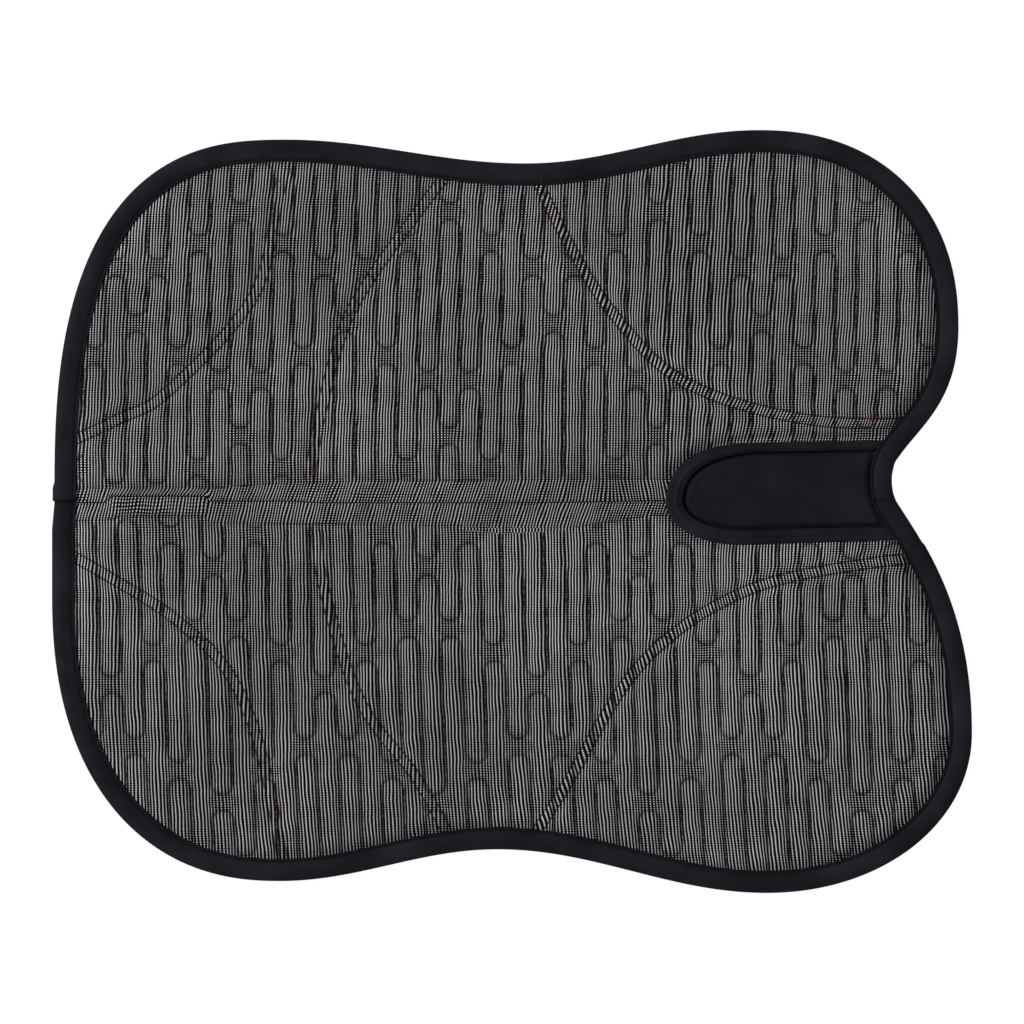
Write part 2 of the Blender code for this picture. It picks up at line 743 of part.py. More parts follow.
def make_withers_insert():
    """Stretch cloth under the opening: lapped under the layers beside it, and lifted into the
    edge binding at the notch."""
    ring = []
    folds = []
    for half in HALVES:
        lap_stop = edge_line(half, EDGE_PRESSED + INSERT_RISE_RUN)
        lift = edge_line(half, EDGE_PRESSED)
        cut = edge_line(half, CUT_INSET)
        lap = throat_line(half, INSERT_LAP)
        arm = throat_line(half, -CLEARANCE)
        lap_end, _, lap_corner = crossing(lap, lap_stop)
        side = lap[:lap_end + 1] + [lap_corner]
        inner = [crossing(arm, line)[2] for line in (lap_stop, lift)]
        _, front, corner = crossing(arm, cut)
        whole = signed(half, side + inner + [corner] + cut[front + 1:])
        ring += whole if half is NEAR else whole[::-1][:-1]
        for line, hit in ((lap_stop, inner[0]), (lift, inner[1])):
            first = crossing(arm, line)[1]
            folds.append(signed(half, [hit] + line[first + 1:]))
    lines = []
    for near_fold, off_fold in zip(folds[:2], folds[2:]):
        lines.append([(point, len(lines)) for point in near_fold + off_fold[::-1]])

    def bottom(point, fold):
        if fold is not None:
            return COVER_EDGE_BOTTOM if fold else INSERT_BOTTOM
        away = min(near_distance((point[0], half.side * point[1]), half.edge) for half in HALVES)
        return ramp(away, EDGE_PRESSED, EDGE_PRESSED + INSERT_RISE_RUN, COVER_EDGE_BOTTOM, INSERT_BOTTOM)

    def top(point, fold):
        return bottom(point, fold) + INSERT_THICKNESS

    layer("withers_insert", OFF, ring, ([], lines, top), ([], lines, bottom), (0.014, 0.015, 0.021), 0.75)


def signed(half, line):
    """Plan line with the near half's distances from the spine below zero."""
    return [(x, half.side * v) for x, v in line]


def make_spine_tape():
    """Tape over the spine seam, on the outer side, between the edge binding and the opening."""
    rear = max(half.rear_x for half in HALVES) + EDGE_BINDING_WIDTH + CLEARANCE
    front = THROAT_TIP_X - WITHERS_BINDING_WIDTH - CLEARANCE
    across = (-SPINE_TAPE_HALF_WIDTH, 0.0, SPINE_TAPE_HALF_WIDTH)
    section = [(v, LEG_BOTTOM) for v in across] + [(v, LEG_BOTTOM + TAPE_THICKNESS) for v in across[::-1]]
    tracks = []
    for v, height in section:
        tracks.append([Vector((x, SPINE_Y + v, height)) for x in (rear, (rear + front) / 2, front)])
    sweep("spine_tape", tracks, tape_cap(), (0.012, 0.012, 0.016), 0.7)


def hang_on_axis(pieces):
    """Give pieces their origin on the spine axis, as children of an empty there."""
    axis = bpy.data.objects.new("spine_axis", None)
    axis.location = (0.0, SPINE_Y, SPINE_AXIS_HEIGHT)
    bpy.context.scene.collection.objects.link(axis)
    for piece in pieces:
        piece.data.transform(Matrix.Translation(-axis.location))
        piece.parent = axis


def clear_scene():
    """Start from an empty scene."""
    for item in list(bpy.data.objects):
        bpy.data.objects.remove(item, do_unlink=True)


def main():
    clear_scene()
    for half in HALVES:
        half.edge = outer_edge(half)
        half.throat = throat_edge(half)
        half.pieces = [make_cover(half), *make_core(half), make_lining(half), make_edge_binding(half)]
    hang_on_axis(OFF.pieces)
    make_spine_tape()
    make_withers_insert()
    make_withers_binding()


main()
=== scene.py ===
"""Therapy half pad: its quilted linings, bindings, insert, outer cloths and threads.

Laid out as a Blender add-on and run as a script. Metres: +X points to the withers, +Y to the off
side, +Z up. The pad lies on its outer side, with the quilted lining up.

Each half is drawn in its own plan: x runs along the spine, and v is the distance from the spine,
outwards.
"""

import math

import bpy
import numpy as np
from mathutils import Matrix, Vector
from mathutils.bvhtree import BVHTree
from mathutils.geometry import delaunay_2d_cdt, intersect_line_line_2d

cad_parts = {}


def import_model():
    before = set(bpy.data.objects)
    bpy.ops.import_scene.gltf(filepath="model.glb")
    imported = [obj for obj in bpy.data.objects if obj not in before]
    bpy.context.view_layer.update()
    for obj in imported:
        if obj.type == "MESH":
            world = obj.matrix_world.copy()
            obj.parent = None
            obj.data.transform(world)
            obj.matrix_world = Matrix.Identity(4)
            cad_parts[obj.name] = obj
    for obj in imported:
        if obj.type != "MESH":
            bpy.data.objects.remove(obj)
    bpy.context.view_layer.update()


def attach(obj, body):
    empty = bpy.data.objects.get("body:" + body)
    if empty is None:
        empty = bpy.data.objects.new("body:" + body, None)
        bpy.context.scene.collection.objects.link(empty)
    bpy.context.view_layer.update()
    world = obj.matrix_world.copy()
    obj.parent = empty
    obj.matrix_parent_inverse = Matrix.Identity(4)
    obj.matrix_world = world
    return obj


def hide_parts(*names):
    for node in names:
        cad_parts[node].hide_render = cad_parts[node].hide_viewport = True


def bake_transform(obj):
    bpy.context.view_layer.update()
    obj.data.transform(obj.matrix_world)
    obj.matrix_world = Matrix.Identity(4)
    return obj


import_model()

bl_info = {
    "name": "Therapy half pad",
    "version": (1, 0, 0),
    "blender": (4, 5, 0),
    "location": "3D View > Sidebar > Half pad",
    "description": "Dresses a folding therapy half pad with its cloths, bindings and stitching",
    "category": "Object",
}

TINY = 1e-9

# Blender's plane geometry gets places in millimetres, and takes nearer ones than SAME_PLACE as one
MM = 1000.0
SAME_PLACE = 0.001

# Layers, from the floor up, as in the solids. A folded binding has a leg on each side of them
CLEARANCE = 0.0003
INSERT_BOTTOM = 0.0003
INSERT_THICKNESS = 0.0008
COVER_THICKNESS = 0.0008
COVER_EDGE_BOTTOM = 0.0026
WADDING_BOTTOM = 0.0011
WADDING_THICKNESS = 0.0052
BACKING_BOTTOM = 0.0066
BACKING_THICKNESS = 0.0005
LINING_BOTTOM = 0.0074
LINING_TOP = 0.0112
LINING_EDGE_BOTTOM = 0.0037
LINING_EDGE_TOP = 0.0045
LEG_THICKNESS = 0.0009
LEG_BOTTOM = 0.0014
LEG_MIDDLE = 0.00355
LEG_TOP = 0.0057

# How near the spine a piece must reach to stay in place instead of going with its half
SPINE_BEND = 0.016

# Bindings and tape, what they press flat, how far short of that the core of wadding and backing
# stops, and the runs in which the cloths slope down to it
EDGE_BINDING_WIDTH = 0.014
WITHERS_BINDING_WIDTH = 0.0088
EDGE_CROWN = 0.0007
BAND_CROWN = 0.0006
SPINE_TAPE_HALF_WIDTH = 0.0125
INSERT_LAP = 0.007
INSERT_TUCK = 0.003
BAND_TUCK = 0.003
SPINE_GAP = CLEARANCE / 2
CUT_INSET = LEG_THICKNESS + CLEARANCE
EDGE_PRESSED = EDGE_BINDING_WIDTH + CLEARANCE
THROAT_PRESSED = WITHERS_BINDING_WIDTH + CLEARANCE
SPINE_PRESSED = SPINE_TAPE_HALF_WIDTH + CLEARANCE
CORE_INSET = 0.0058
CORE_START = SPINE_TAPE_HALF_WIDTH + 0.0061
COVER_SLOPE = 0.0037
LINING_SLOPE = 0.0052

# Grooves that stitches draw in a binding: how far in as a share of its width, depth and width
EDGE_GROOVES = ((0.86, 0.00045, 0.0008),)
BAND_GROOVES = ((0.27, 0.0004, 0.0005), (0.60, 0.0004, 0.0009))
GROOVE_STEPS = (-1.6, -0.8, 0, 0.8, 1.6)

# A binding's section: its points, as shares of its width, and where its crown ends
LOWER_LEG_PARTS = (1.0, 0.7, 0.4)
UPPER_LEG_PARTS = (0.26, 0.38, 0.5, 0.62, 0.74, 0.87, 1.0)
UPPER_LEG_START = 0.25
FOLD_POINTS = 9
FOLD_LEAST = 0.0002
CROWN_END = 0.86

# A binding's laps, its wrinkles, each with height and size, and its gathers
LAP_BORDER = 0.0008
LAP_REACH = 0.6
FINE_WRINKLE = (0.00016, 0.0075)
BROAD_WRINKLE = (0.0003, 0.045)
WRINKLED_FROM = LEG_TOP - 0.0006
WRINKLE_REACH = 0.3
GATHER_HEIGHT = 0.00032
GATHER_PITCH = 0.0042

# The withers band: where it is gathered, its pressed ends, and where its width changes
BAND_GATHER = 0.022
BAND_SINK = 0.28
BAND_SINK_RUN = 0.006
BAND_WIDTH_MARKS = (0.0, 0.03, 0.06)

# Plan, as in the solids
REAR_X = -0.290
FRONT_X = 0.290
SPINE_Y = 0.0065
NOTCH_X = 0.243
THROAT_TIP_X = 0.108
PLAN_WIDTH = 0.26
LINE_STEPS = 48
KNOT_STEPS = 12
STATION = 0.002
EVENED = 18
ARC_HANDLE = 0.55
FAR = 0.045

# Grids of the sheets; the lining's lines lie closer together at the stitches of each finger
COVER_STEP = 0.003
LINING_STEP = 0.0011
LINING_WIDTH = 0.255
LEAN_ROOM = 0.01
FINGER_STEPS = (0, 0.04, 0.1, 0.19, 0.32, 0.5, 0.68, 0.81, 0.9, 0.96)
UNDERSIDE_STEP = 0.012
INSERT_STEP = 0.0014
INSERT_X = (0.09, 0.25)
INSERT_Y = (-0.045, 0.06)

# Quilting: fingers side by side, cut by short bridges that step from column to column. Here and
# below, an OFF_BAND pair is how far before and after the band's topstitch line a form grows in
BRIDGE_LENGTH = 0.0100
BRIDGE_STEPS = (0.0, 0.0202, 0.0353, 0.0353, 0.0202)
BRIDGE_SHARE = 0.8
BRIDGE_FAR = 0.02
COLUMN_REACH = 1.6
ROWS_END = 0.27
GROOVES_START = -0.02
GROOVES_END = 0.30
FINGER_CROWN = 0.0008
FINGER_RUN = 0.0062
FINGER_ROUNDNESS = 1.8
PINCH_DEPTH = 0.0004
PINCH_RUN = 0.0017
PINCH_ROUNDNESS = 1.5
FINGERS_ON_BAND = 0.15
FINGERS_OFF_BAND = (0.001, 0.008)
FINGERS_AT_SEAM = 0.30
FINGERS_OFF_SEAM = (0.0035, 0.009)

# Swell of the lining beside what presses it down, and the low band along the spine
EDGE_SWELL = 0.0095
THROAT_SWELL = 0.010
BAND_SWELL_RUN = 0.0115
BAND_SWELL_ROUNDNESS = 1.8
BAND_LOW = 0.20
BAND_SWELL = 0.22
BAND_FULLNESS = 0.6
LEAST_LOFT = 0.0008

# Soft irregular waves: height, size and turn
FINGER_WAVES = ((0.25, 0.034, 0.0), (0.15, 0.011, 2.0))
LOFT_WAVES = (0.0004, 0.09, 0.7)
SEAM_WAVES = (0.00022, 0.012, 1.0)
SWAY_WAVES = ((0.0007, 0.06, 0.4), (0.00025, 0.013, 1.4))
INSERT_WAVES = (1.0, 0.045, 0.3)

# Twin seams: how they draw the cloth in and down, and how far each shears the stripes
SEAM_SPACING = 0.0063
SEAM_GATHER = 0.0060
SEAM_DEPTH = 0.0010
SEAM_SINK = 0.0006
SEAM_OFF_BAND = (0.002, 0.004)
SEAM_WAVES_FADE = (0.004, 0.016)
SEAM_SHEAR = (0.0004, 0.0004, 0.0009)
SHEAR_OFF_BAND = (0.0, 0.006)
SHEAR_FADE = (0.0032, 0.010)
SEWN_OFF_BAND = (0.001, 0.004)
COVER_DRAW = 0.0018
COVER_DRAW_RUN = 0.007
COVER_DRAW_ROUNDNESS = 2.0
COVER_DRAW_OFF_EDGE = (0.004, 0.012)
COVER_DRAW_OFF_SPINE = 0.008

# The lap in the spine seam, and how far the seam runs beside the axis
LAP_START = -0.2535
LAP_END = -0.1925
LAP_RISE = 0.0009
LAP_SOFT = 0.0006
SEAM_DRIFT = ((-0.290, -0.001), (LAP_START - 0.0015, -0.001), (LAP_START + 0.0005, 0.0031),
              (LAP_END - 0.0005, 0.0031), (LAP_END + 0.002, 0.0), (-0.14, 0.0), (-0.12, -0.001),
              (0.01, -0.001), (0.09, 0.0002), (0.108, 0.0))
DRIFT_RUN = 0.0085

# Tucks: each has a soft rise round it, whose height and width are counted in the tuck's own
TUCK_BORDER = 0.001
TUCK_RISE = 0.5
TUCK_RISE_WIDTH = 2.6
DEEP_TUCK = 0.0008

# The insert: height of its stretched cloth in the opening, its puckers and its one long crease. An
# INLET is where a form begins and where it is whole, counted from the opening's edge
INSERT_ARM = 0.0009
INSERT_LOFT = 0.0042
INSERT_PUCKER = 0.0009
PUCKER_COUNT = 11
PUCKER_RUN = 0.016
PUCKER_CENTRE = 0.004
PUCKER_INLET = (0.0005, 0.004)
WAVE_INLET = (0.001, 0.010)
CREASE_INLET = (0.0002, 0.002)
LOFT_INLET = (0.0002, 0.0030)
LOFT_OFF_EDGE = 0.0035
INSERT_CREASE = ((0.1160, -0.0085), (0.125, -0.0118), (0.138, -0.0140), (0.152, -0.0150))
CREASE_WIDTH = 0.0013

# Weaves: spacing of their stripes, beads and threads, and how far the stripes flare and are pulled
STRIPE_PITCH = 0.00202
BEAD_PITCH = 0.00152
FLARE_RUN = 0.018
FINGER_PULL = 0.00035
CLOTH_PITCH = 0.0012
BINDING_PITCH = 0.0007

# Threads, where they stop, and the loose ends with their turns and lengths. A seam's thread is
# thicker than the quilting's, and the loose ends are thickest. RAY_START lies below the pad
STITCH_STATION = 0.0012
STITCH_COVER = 0.80
STITCH_MARGIN = 0.001
SPINE_MARGIN = 0.0025
TIP_MARGIN = 0.012
QUILTING_OFF_BAND = 0.0008
SEAM_STITCH_OFF_BAND = 0.0002
THREAD_RISE = 0.00012
THREAD_SINK = 0.0003
BAND_THREAD_RISE = 0.0001
TAPE_STITCH_INSET = 0.002
TAPE_POINTS = 13
SEAM_STITCH = 0.0027
SEAM_THREAD = 1.15
END_STITCH = 0.0007
END_COVER = 1.25
END_THREAD = 1.5
END_POINTS = 12
END_TURNS = (0.9, 2.3)
END_CURL = (1.4, 1.7)
END_LENGTHS = (0.0022, 0.0034, 0.0046)
END_RISE = 0.00025
END_LOOP = 0.0006
RAY_START = -0.02

# Colours that a user doesn't choose, dark and light
BLACK_THREAD = ((0.003, 0.003, 0.004), (0.012, 0.012, 0.014))
QUILTING_THREAD = ((0.004, 0.004, 0.005), (0.014, 0.014, 0.016))
WADDING_WHITE = ((0.66, 0.65, 0.61), (0.80, 0.79, 0.76))
BACKING_GREY = ((0.48, 0.48, 0.47), (0.62, 0.62, 0.60))
RED_SHADE = 0.6

# Stage: the camera's span and place, the floor, and the strength of the lights
CAMERA_SPAN = 0.6455
CAMERA_PLACE = (0.0, -0.0003, 1.0)
FLOOR_SIZE = 8.0
FLOOR_HEIGHT = -0.0002
FLOOR_WHITE = 0.88
FLOOR_SEEN_GLOW = 0.92
GLOW_STRENGTH = 1.05
ROOM_STRENGTH = 0.52

# Each half's own sizes. Channels are the twin seams, with x counted from the rear. A lap is its start,
# end, rise and how far the fold stands out, at the notch counted from the binding's end. A tuck is
# its place, start, end, width and depth. The leans of the band and the side are degrees
OFF_SIZES = {
    "name": "off", "side": 1,
    "rear_spine_x": -0.2885, "rear_turn": 0.0025, "rear_x": -0.2885, "corner_start": 0.005,
    "rear_peak": (-0.1425, 0.228), "rear_fullness": 2.63, "waist": (0.0085, 0.213),
    "front_peak": (0.156, 0.234), "front_tip": (0.2815, 0.110), "front_fullness": 2.22,
    "flank_pull": 0.0555, "notch": (0.238, 0.017), "notch_pull": (0.0095, 0.0255),
    "notch_round": 0.008, "notch_end": (0.2383, 0.0085), "shoulder": 0.060,
    "throat_half_width": 0.031, "mouth_half_width": 0.033, "throat_fullness": 2.4,
    "band_width": (1.28, 1.0, 0.72, 0.72), "rear_laps": ((-0.01, 0.0102, 0.0008, 0.0011),),
    "notch_laps": ((-0.0270, -0.0185, 0.0002, -0.0003), (-0.0185, 0.01, 0.0004, -0.0006)),
    "pitch": 0.01315, "finger_origin": -0.1716, "finger_lean": 0.0062, "row_start": 0.0412,
    "row_pitch": 0.0707, "relief": 1.0,
    "channels": (
        ((0.004, 0.034), (0.0425, 0.052), (0.0725, 0.0686), (0.1267, 0.1285), (0.1425, 0.1916),
         (0.150, 0.232)),
        ((0.1612, 0.004), (0.169, 0.0529), (0.1879, 0.1184), (0.2301, 0.1815), (0.262, 0.222)),
        ((0.295, 0.227), (0.3203, 0.1727), (0.3537, 0.1184), (0.4003, 0.0743), (0.4797, 0.051),
         (0.572, 0.050))),
    "stripe_lean": (1.0, 4.5, -2.0, 0.21),
    "band_lean": ((-0.29, 18.0), (-0.02, 20.0), (0.05, 8.0), (0.07, -10.0), (0.10, -10.0)),
    "side_lean": ((-0.29, -3.0), (0.09, -3.0), (0.15, 22.0), (0.18, 26.0), (0.24, 18.0)),
    "tucks": ((-0.1828, 0.001, 0.0095, 0.0012, 0.0013), (-0.1690, 0.001, 0.0095, 0.0012, 0.0011),
              (-0.1551, 0.001, 0.0105, 0.0012, 0.0012), (-0.1431, 0.001, 0.011, 0.0012, 0.0011),
              (-0.0473, 0.004, 0.0135, 0.0010, 0.0007), (0.0069, 0.004, 0.014, 0.0010, 0.0008),
              (0.0177, 0.003, 0.0135, 0.0010, 0.0009), (0.0347, 0.003, 0.0135, 0.0011, 0.0010),
              (0.0448, 0.003, 0.0135, 0.0010, 0.0008), (-0.208, 0.0100, 0.0155, 0.0009, 0.0009),
              (-0.1967, 0.0100, 0.0155, 0.0009, 0.0009)),
    "band": ((-0.274, 0.0084), (-0.190, 0.0084), (-0.143, 0.0116), (-0.108, 0.0125),
             (0.055, 0.0140), (0.100, 0.0140)),
    "red_ends": ((-0.1481, 0.2006), (-0.1393, 0.21), (-0.0517, 0.1949), (-0.0485, 0.1924),
                 (-0.0372, 0.205), (-0.1273, 0.0165), (0.0183, 0.2), (0.0214, 0.1848),
                 (0.2263, 0.0506), (0.2326, 0.0531), (0.2459, 0.0487), (-0.232, 0.0506),
                 (-0.2717, 0.0367), (0.1009, 0.002)),
}
NEAR_SIZES = {
    "name": "near", "side": -1,
    "rear_spine_x": -0.2884, "rear_turn": 0.018, "rear_x": -0.290, "corner_start": 0.0585,
    "rear_peak": (-0.1465, 0.2395), "rear_fullness": 2.29, "waist": (-0.009, 0.2195),
    "front_peak": (0.1605, 0.247), "front_tip": (0.290, 0.146), "front_fullness": 2.04,
    "flank_pull": 0.0805, "notch": (0.243, 0.0), "notch_pull": (0.016, 0.0255),
    "notch_round": 0.006, "notch_end": (0.2445, 0.0025), "shoulder": 0.037,
    "throat_half_width": 0.018, "mouth_half_width": 0.0145, "throat_fullness": 2.0,
    "band_width": (1.28, 1.1, 1.05, 1.0), "rear_laps": (),
    "notch_laps": ((-0.0310, 0.01, 0.0004, -0.0006),),
    "pitch": 0.01343, "finger_origin": -0.1894, "finger_lean": 0.0377, "row_start": 0.0416,
    "row_pitch": 0.0741, "relief": 1.25,
    "channels": (
        ((0.003, 0.029), (0.0366, 0.048), (0.0763, 0.0732), (0.1103, 0.1066), (0.1311, 0.1551),
         (0.1448, 0.2232), (0.146, 0.245)),
        ((0.1662, 0.004), (0.1709, 0.0518), (0.1942, 0.1255), (0.2320, 0.1778), (0.262, 0.235)),
        ((0.288, 0.235), (0.3222, 0.1822), (0.3707, 0.1034), (0.4356, 0.0574), (0.5201, 0.0385),
         (0.585, 0.035))),
    "stripe_lean": (-2.0, 5.0, 4.0, 0.22),
    "band_lean": ((-0.29, -12.0), (-0.02, -10.0), (0.04, -18.0), (0.10, -18.0)),
    "side_lean": ((-0.29, 4.0), (0.11, 3.0), (0.14, -8.0), (0.24, -6.0)),
    "tucks": ((-0.0473, 0.001, 0.0155, 0.0010, 0.0007), (-0.0076, 0.002, 0.017, 0.0011, 0.0009),
              (0.0063, 0.002, 0.017, 0.0010, 0.0008), (0.0208, 0.002, 0.016, 0.0010, 0.0009),
              (0.0303, 0.002, 0.016, 0.0010, 0.0007), (0.062, 0.001, 0.012, 0.0012, 0.0010),
              (0.1784, 0.0265, 0.0300, 0.0008, 0.0008), (0.191, 0.0265, 0.0305, 0.0008, 0.0009),
              (0.205, 0.0265, 0.0305, 0.0008, 0.0009), (0.2194, 0.0265, 0.0345, 0.0009, 0.0012),
              (0.2344, 0.0265, 0.0300, 0.0008, 0.0009)),
    "band": ((-0.274, 0.0120), (-0.253, 0.0115), (-0.247, 0.0095), (-0.193, 0.0095),
             (-0.189, 0.0136), (-0.071, 0.0149), (-0.039, 0.0151), (-0.008, 0.0183),
             (0.040, 0.0165), (0.087, 0.0089)),
    "red_ends": ((0.2459, 0.0289), (0.2471, 0.0346), (-0.2749, 0.0308), (-0.2547, 0.044),
                 (-0.1223, 0.0188), (-0.1488, 0.1909), (-0.0555, 0.1934)),
}


# Lines in the plan

def superellipse(centre, across, along, fullness):
    """Quarter of a superellipse from centre + across to centre + along."""
    turn = np.linspace(0, math.pi / 2, LINE_STEPS + 1)[:, None]
    part_a = np.clip(np.cos(turn), 0, 1) ** (2 / fullness)
    part_b = np.clip(np.sin(turn), 0, 1) ** (2 / fullness)
    return np.array(centre) + np.array(across) * part_a + np.array(along) * part_b


def ease(start, end):
    """A soft S from start to end, level at both."""
    part = np.linspace(0, 1, LINE_STEPS + 1)
    share = np.stack([part, (1 - np.cos(math.pi * part)) / 2], axis=1)
    return np.array(start) + (np.array(end) - np.array(start)) * share


def bezier(*corners):
    """Cubic curve from its first corner to its last."""
    t = np.linspace(0, 1, LINE_STEPS + 1)[:, None]
    weights = ((1 - t) ** 3, 3 * t * (1 - t) ** 2, 3 * t * t * (1 - t), t ** 3)
    return sum(weight * np.array(corner) for weight, corner in zip(weights, corners))


def smooth_line(knots):
    """Curve through all knots."""
    knots = np.array(knots, dtype=float)
    around = np.concatenate([knots[:1], knots, knots[-1:]])
    t = (np.arange(KNOT_STEPS) / KNOT_STEPS)[:, None]
    parts = [start * (2 * t ** 3 - 3 * t ** 2 + 1) + end * (3 * t ** 2 - 2 * t ** 3)
             + (end - before) / 2 * (t ** 3 - 2 * t ** 2 + t) + (after - start) / 2 * (t ** 3 - t ** 2)
             for before, start, end, after in zip(around, around[1:], around[2:], around[3:])]
    return np.concatenate(parts + [knots[-1:]])


def join(*lines):
    """One line from lines that follow each other."""
    points = np.concatenate([np.array(line, dtype=float) for line in lines])
    keep = np.ones(len(points), bool)
    keep[1:] = np.hypot(*np.diff(points, axis=0).T) > CLEARANCE
    return points[keep]


def lengths(line):
    """Length of the line up to each of its points."""
    return np.concatenate([[0.0], np.cumsum(np.sqrt((np.diff(line, axis=0) ** 2).sum(axis=1)))])


def resample(line, count):
    """The line with a given number of evenly spaced points."""
    run = lengths(line)
    marks = np.linspace(0, run[-1], count)
    return np.stack([np.interp(marks, run, part) for part in line.T], axis=1)


def even(line, spacing):
    """The line with evenly spaced points, about so far apart."""
    return resample(line, max(int(round(lengths(line)[-1] / spacing)), 1) + 1)


def offset(line, distance):
    """The line moved to its right by distance, with mitred corners."""
    step = np.diff(line, axis=0)
    step /= np.hypot(step[:, 0], step[:, 1])[:, None]
    right = np.stack([step[:, 1], -step[:, 0]], axis=1)
    total = np.concatenate([right[:1], right[:-1] + right[1:], right[-1:]])
    scale = 2 / (total ** 2).sum(axis=1)
    scale[[0, -1]] = 1.0
    return line + total * scale[:, None] * np.asarray(distance).reshape(-1, 1)


def crossing(line_a, line_b):
    """First place where line_a meets line_b: index in each, and the point."""
    for i, (start, end) in enumerate(zip(line_a, line_a[1:])):
        low, high = np.minimum(start, end) - CLEARANCE, np.maximum(start, end) + CLEARANCE
        clear = (np.maximum(line_b[:-1], line_b[1:]) < low) | (np.minimum(line_b[:-1], line_b[1:]) > high)
        for j in np.nonzero(~clear.any(axis=1))[0]:
            corners = [Vector(point * MM) for point in (start, end, line_b[j], line_b[j + 1])]
            hit = intersect_line_line_2d(*corners)
            if hit is not None:
                return i, int(j), np.array(hit) / MM


def start_at(line, v):
    """The line cut or moved so that it starts exactly at distance v from the spine."""
    first = int(np.argmax(line[:, 1] > v + CLEARANCE))
    a, b = (line[0], line[1]) if first == 0 else (line[first - 1], line[first])
    part = (v - a[1]) / (b[1] - a[1])
    return np.concatenate([[(a[0] + (b[0] - a[0]) * part, v)], line[first:]])


def end_at(line, v):
    """The line cut or moved so that it ends exactly at distance v from the spine."""
    return start_at(line[::-1], v)[::-1]


def nearest(line, x, v):
    """Distance of points from a line, how far beside it, and the places on it.

    No distance is more than FAR.
    """
    best = np.full(x.shape, FAR)
    beside = np.full(x.shape, FAR)
    place = np.stack([x, v]).astype(float)
    flat_x, flat_v = x.ravel(), v.ravel()
    order = np.argsort(flat_x, kind="stable")
    sorted_x = flat_x[order]
    for a, b in zip(line, line[1:]):
        start, end = np.searchsorted(sorted_x, (min(a[0], b[0]) - FAR, max(a[0], b[0]) + FAR))
        pick = order[start:end]
        height = flat_v[pick]
        pick = pick[(height > min(a[1], b[1]) - FAR) & (height < max(a[1], b[1]) + FAR)]
        if not len(pick):
            continue
        dx, dv = b - a
        run = math.hypot(dx, dv)
        px, pv = flat_x[pick] - a[0], flat_v[pick] - a[1]
        part = np.clip((px * dx + pv * dv) / run ** 2, 0, 1)
        gap = np.hypot(px - dx * part, pv - dv * part)
        closer = gap < best.flat[pick]
        pick = pick[closer]
        best.flat[pick] = gap[closer]
        beside.flat[pick] = ((dx * pv - dv * px) / run)[closer]
        place[0].flat[pick] = a[0] + (dx * part)[closer]
        place[1].flat[pick] = a[1] + (dv * part)[closer]
    return best, beside, place


def inside(ring, x, v):
    """True where points lie in a closed ring."""
    odd = np.zeros(x.shape, bool)
    for a, b in zip(ring, np.roll(ring, -1, axis=0)):
        if a[1] != b[1]:
            between = (a[1] > v) != (b[1] > v)
            odd ^= between & (x < a[0] + (b[0] - a[0]) * (v - a[1]) / (b[1] - a[1]))
    return odd


# Forms that cloth takes

def smooth_rise(value, start, end):
    """0 before start, 1 after end, smooth between."""
    part = np.clip((value - start) / (end - start), 0, 1)
    return part * part * (3 - 2 * part)


def window(value, start, end, soft):
    """1 from start to end, 0 outside, smooth over a little at both."""
    return smooth_rise(value, start - soft, start + soft) * (1 - smooth_rise(value, end - soft, end + soft))


def puff(value, run, roundness=2.2):
    """How cloth swells away from a stitch: steep at the stitch, level after a run."""
    return 1 - (1 - np.clip(value / run, 0, 1)) ** roundness


def uneven(x, y, height, size, turn):
    """Soft irregular waves up to about a height above and below 0, the same on each run.

    They are sums of waves whose lengths fit together nowhere, so that no pattern repeats.
    """
    a = np.sin(x / size * 5.1 + 1.3 * np.sin(y / size * 2.3 + turn) + turn)
    b = np.sin(y / size * 4.3 + 1.7 * np.sin(x / size * 1.9 + 2 * turn) + 2.1 * turn)
    c = np.sin((x + y) / size * 2.9 + 1.1 * turn)
    return height * ((a + b + c) / 3)


def world(x, y, z):
    """World points of places beside the spine axis."""
    return np.stack(np.broadcast_arrays(x, SPINE_Y + y, z), axis=-1)


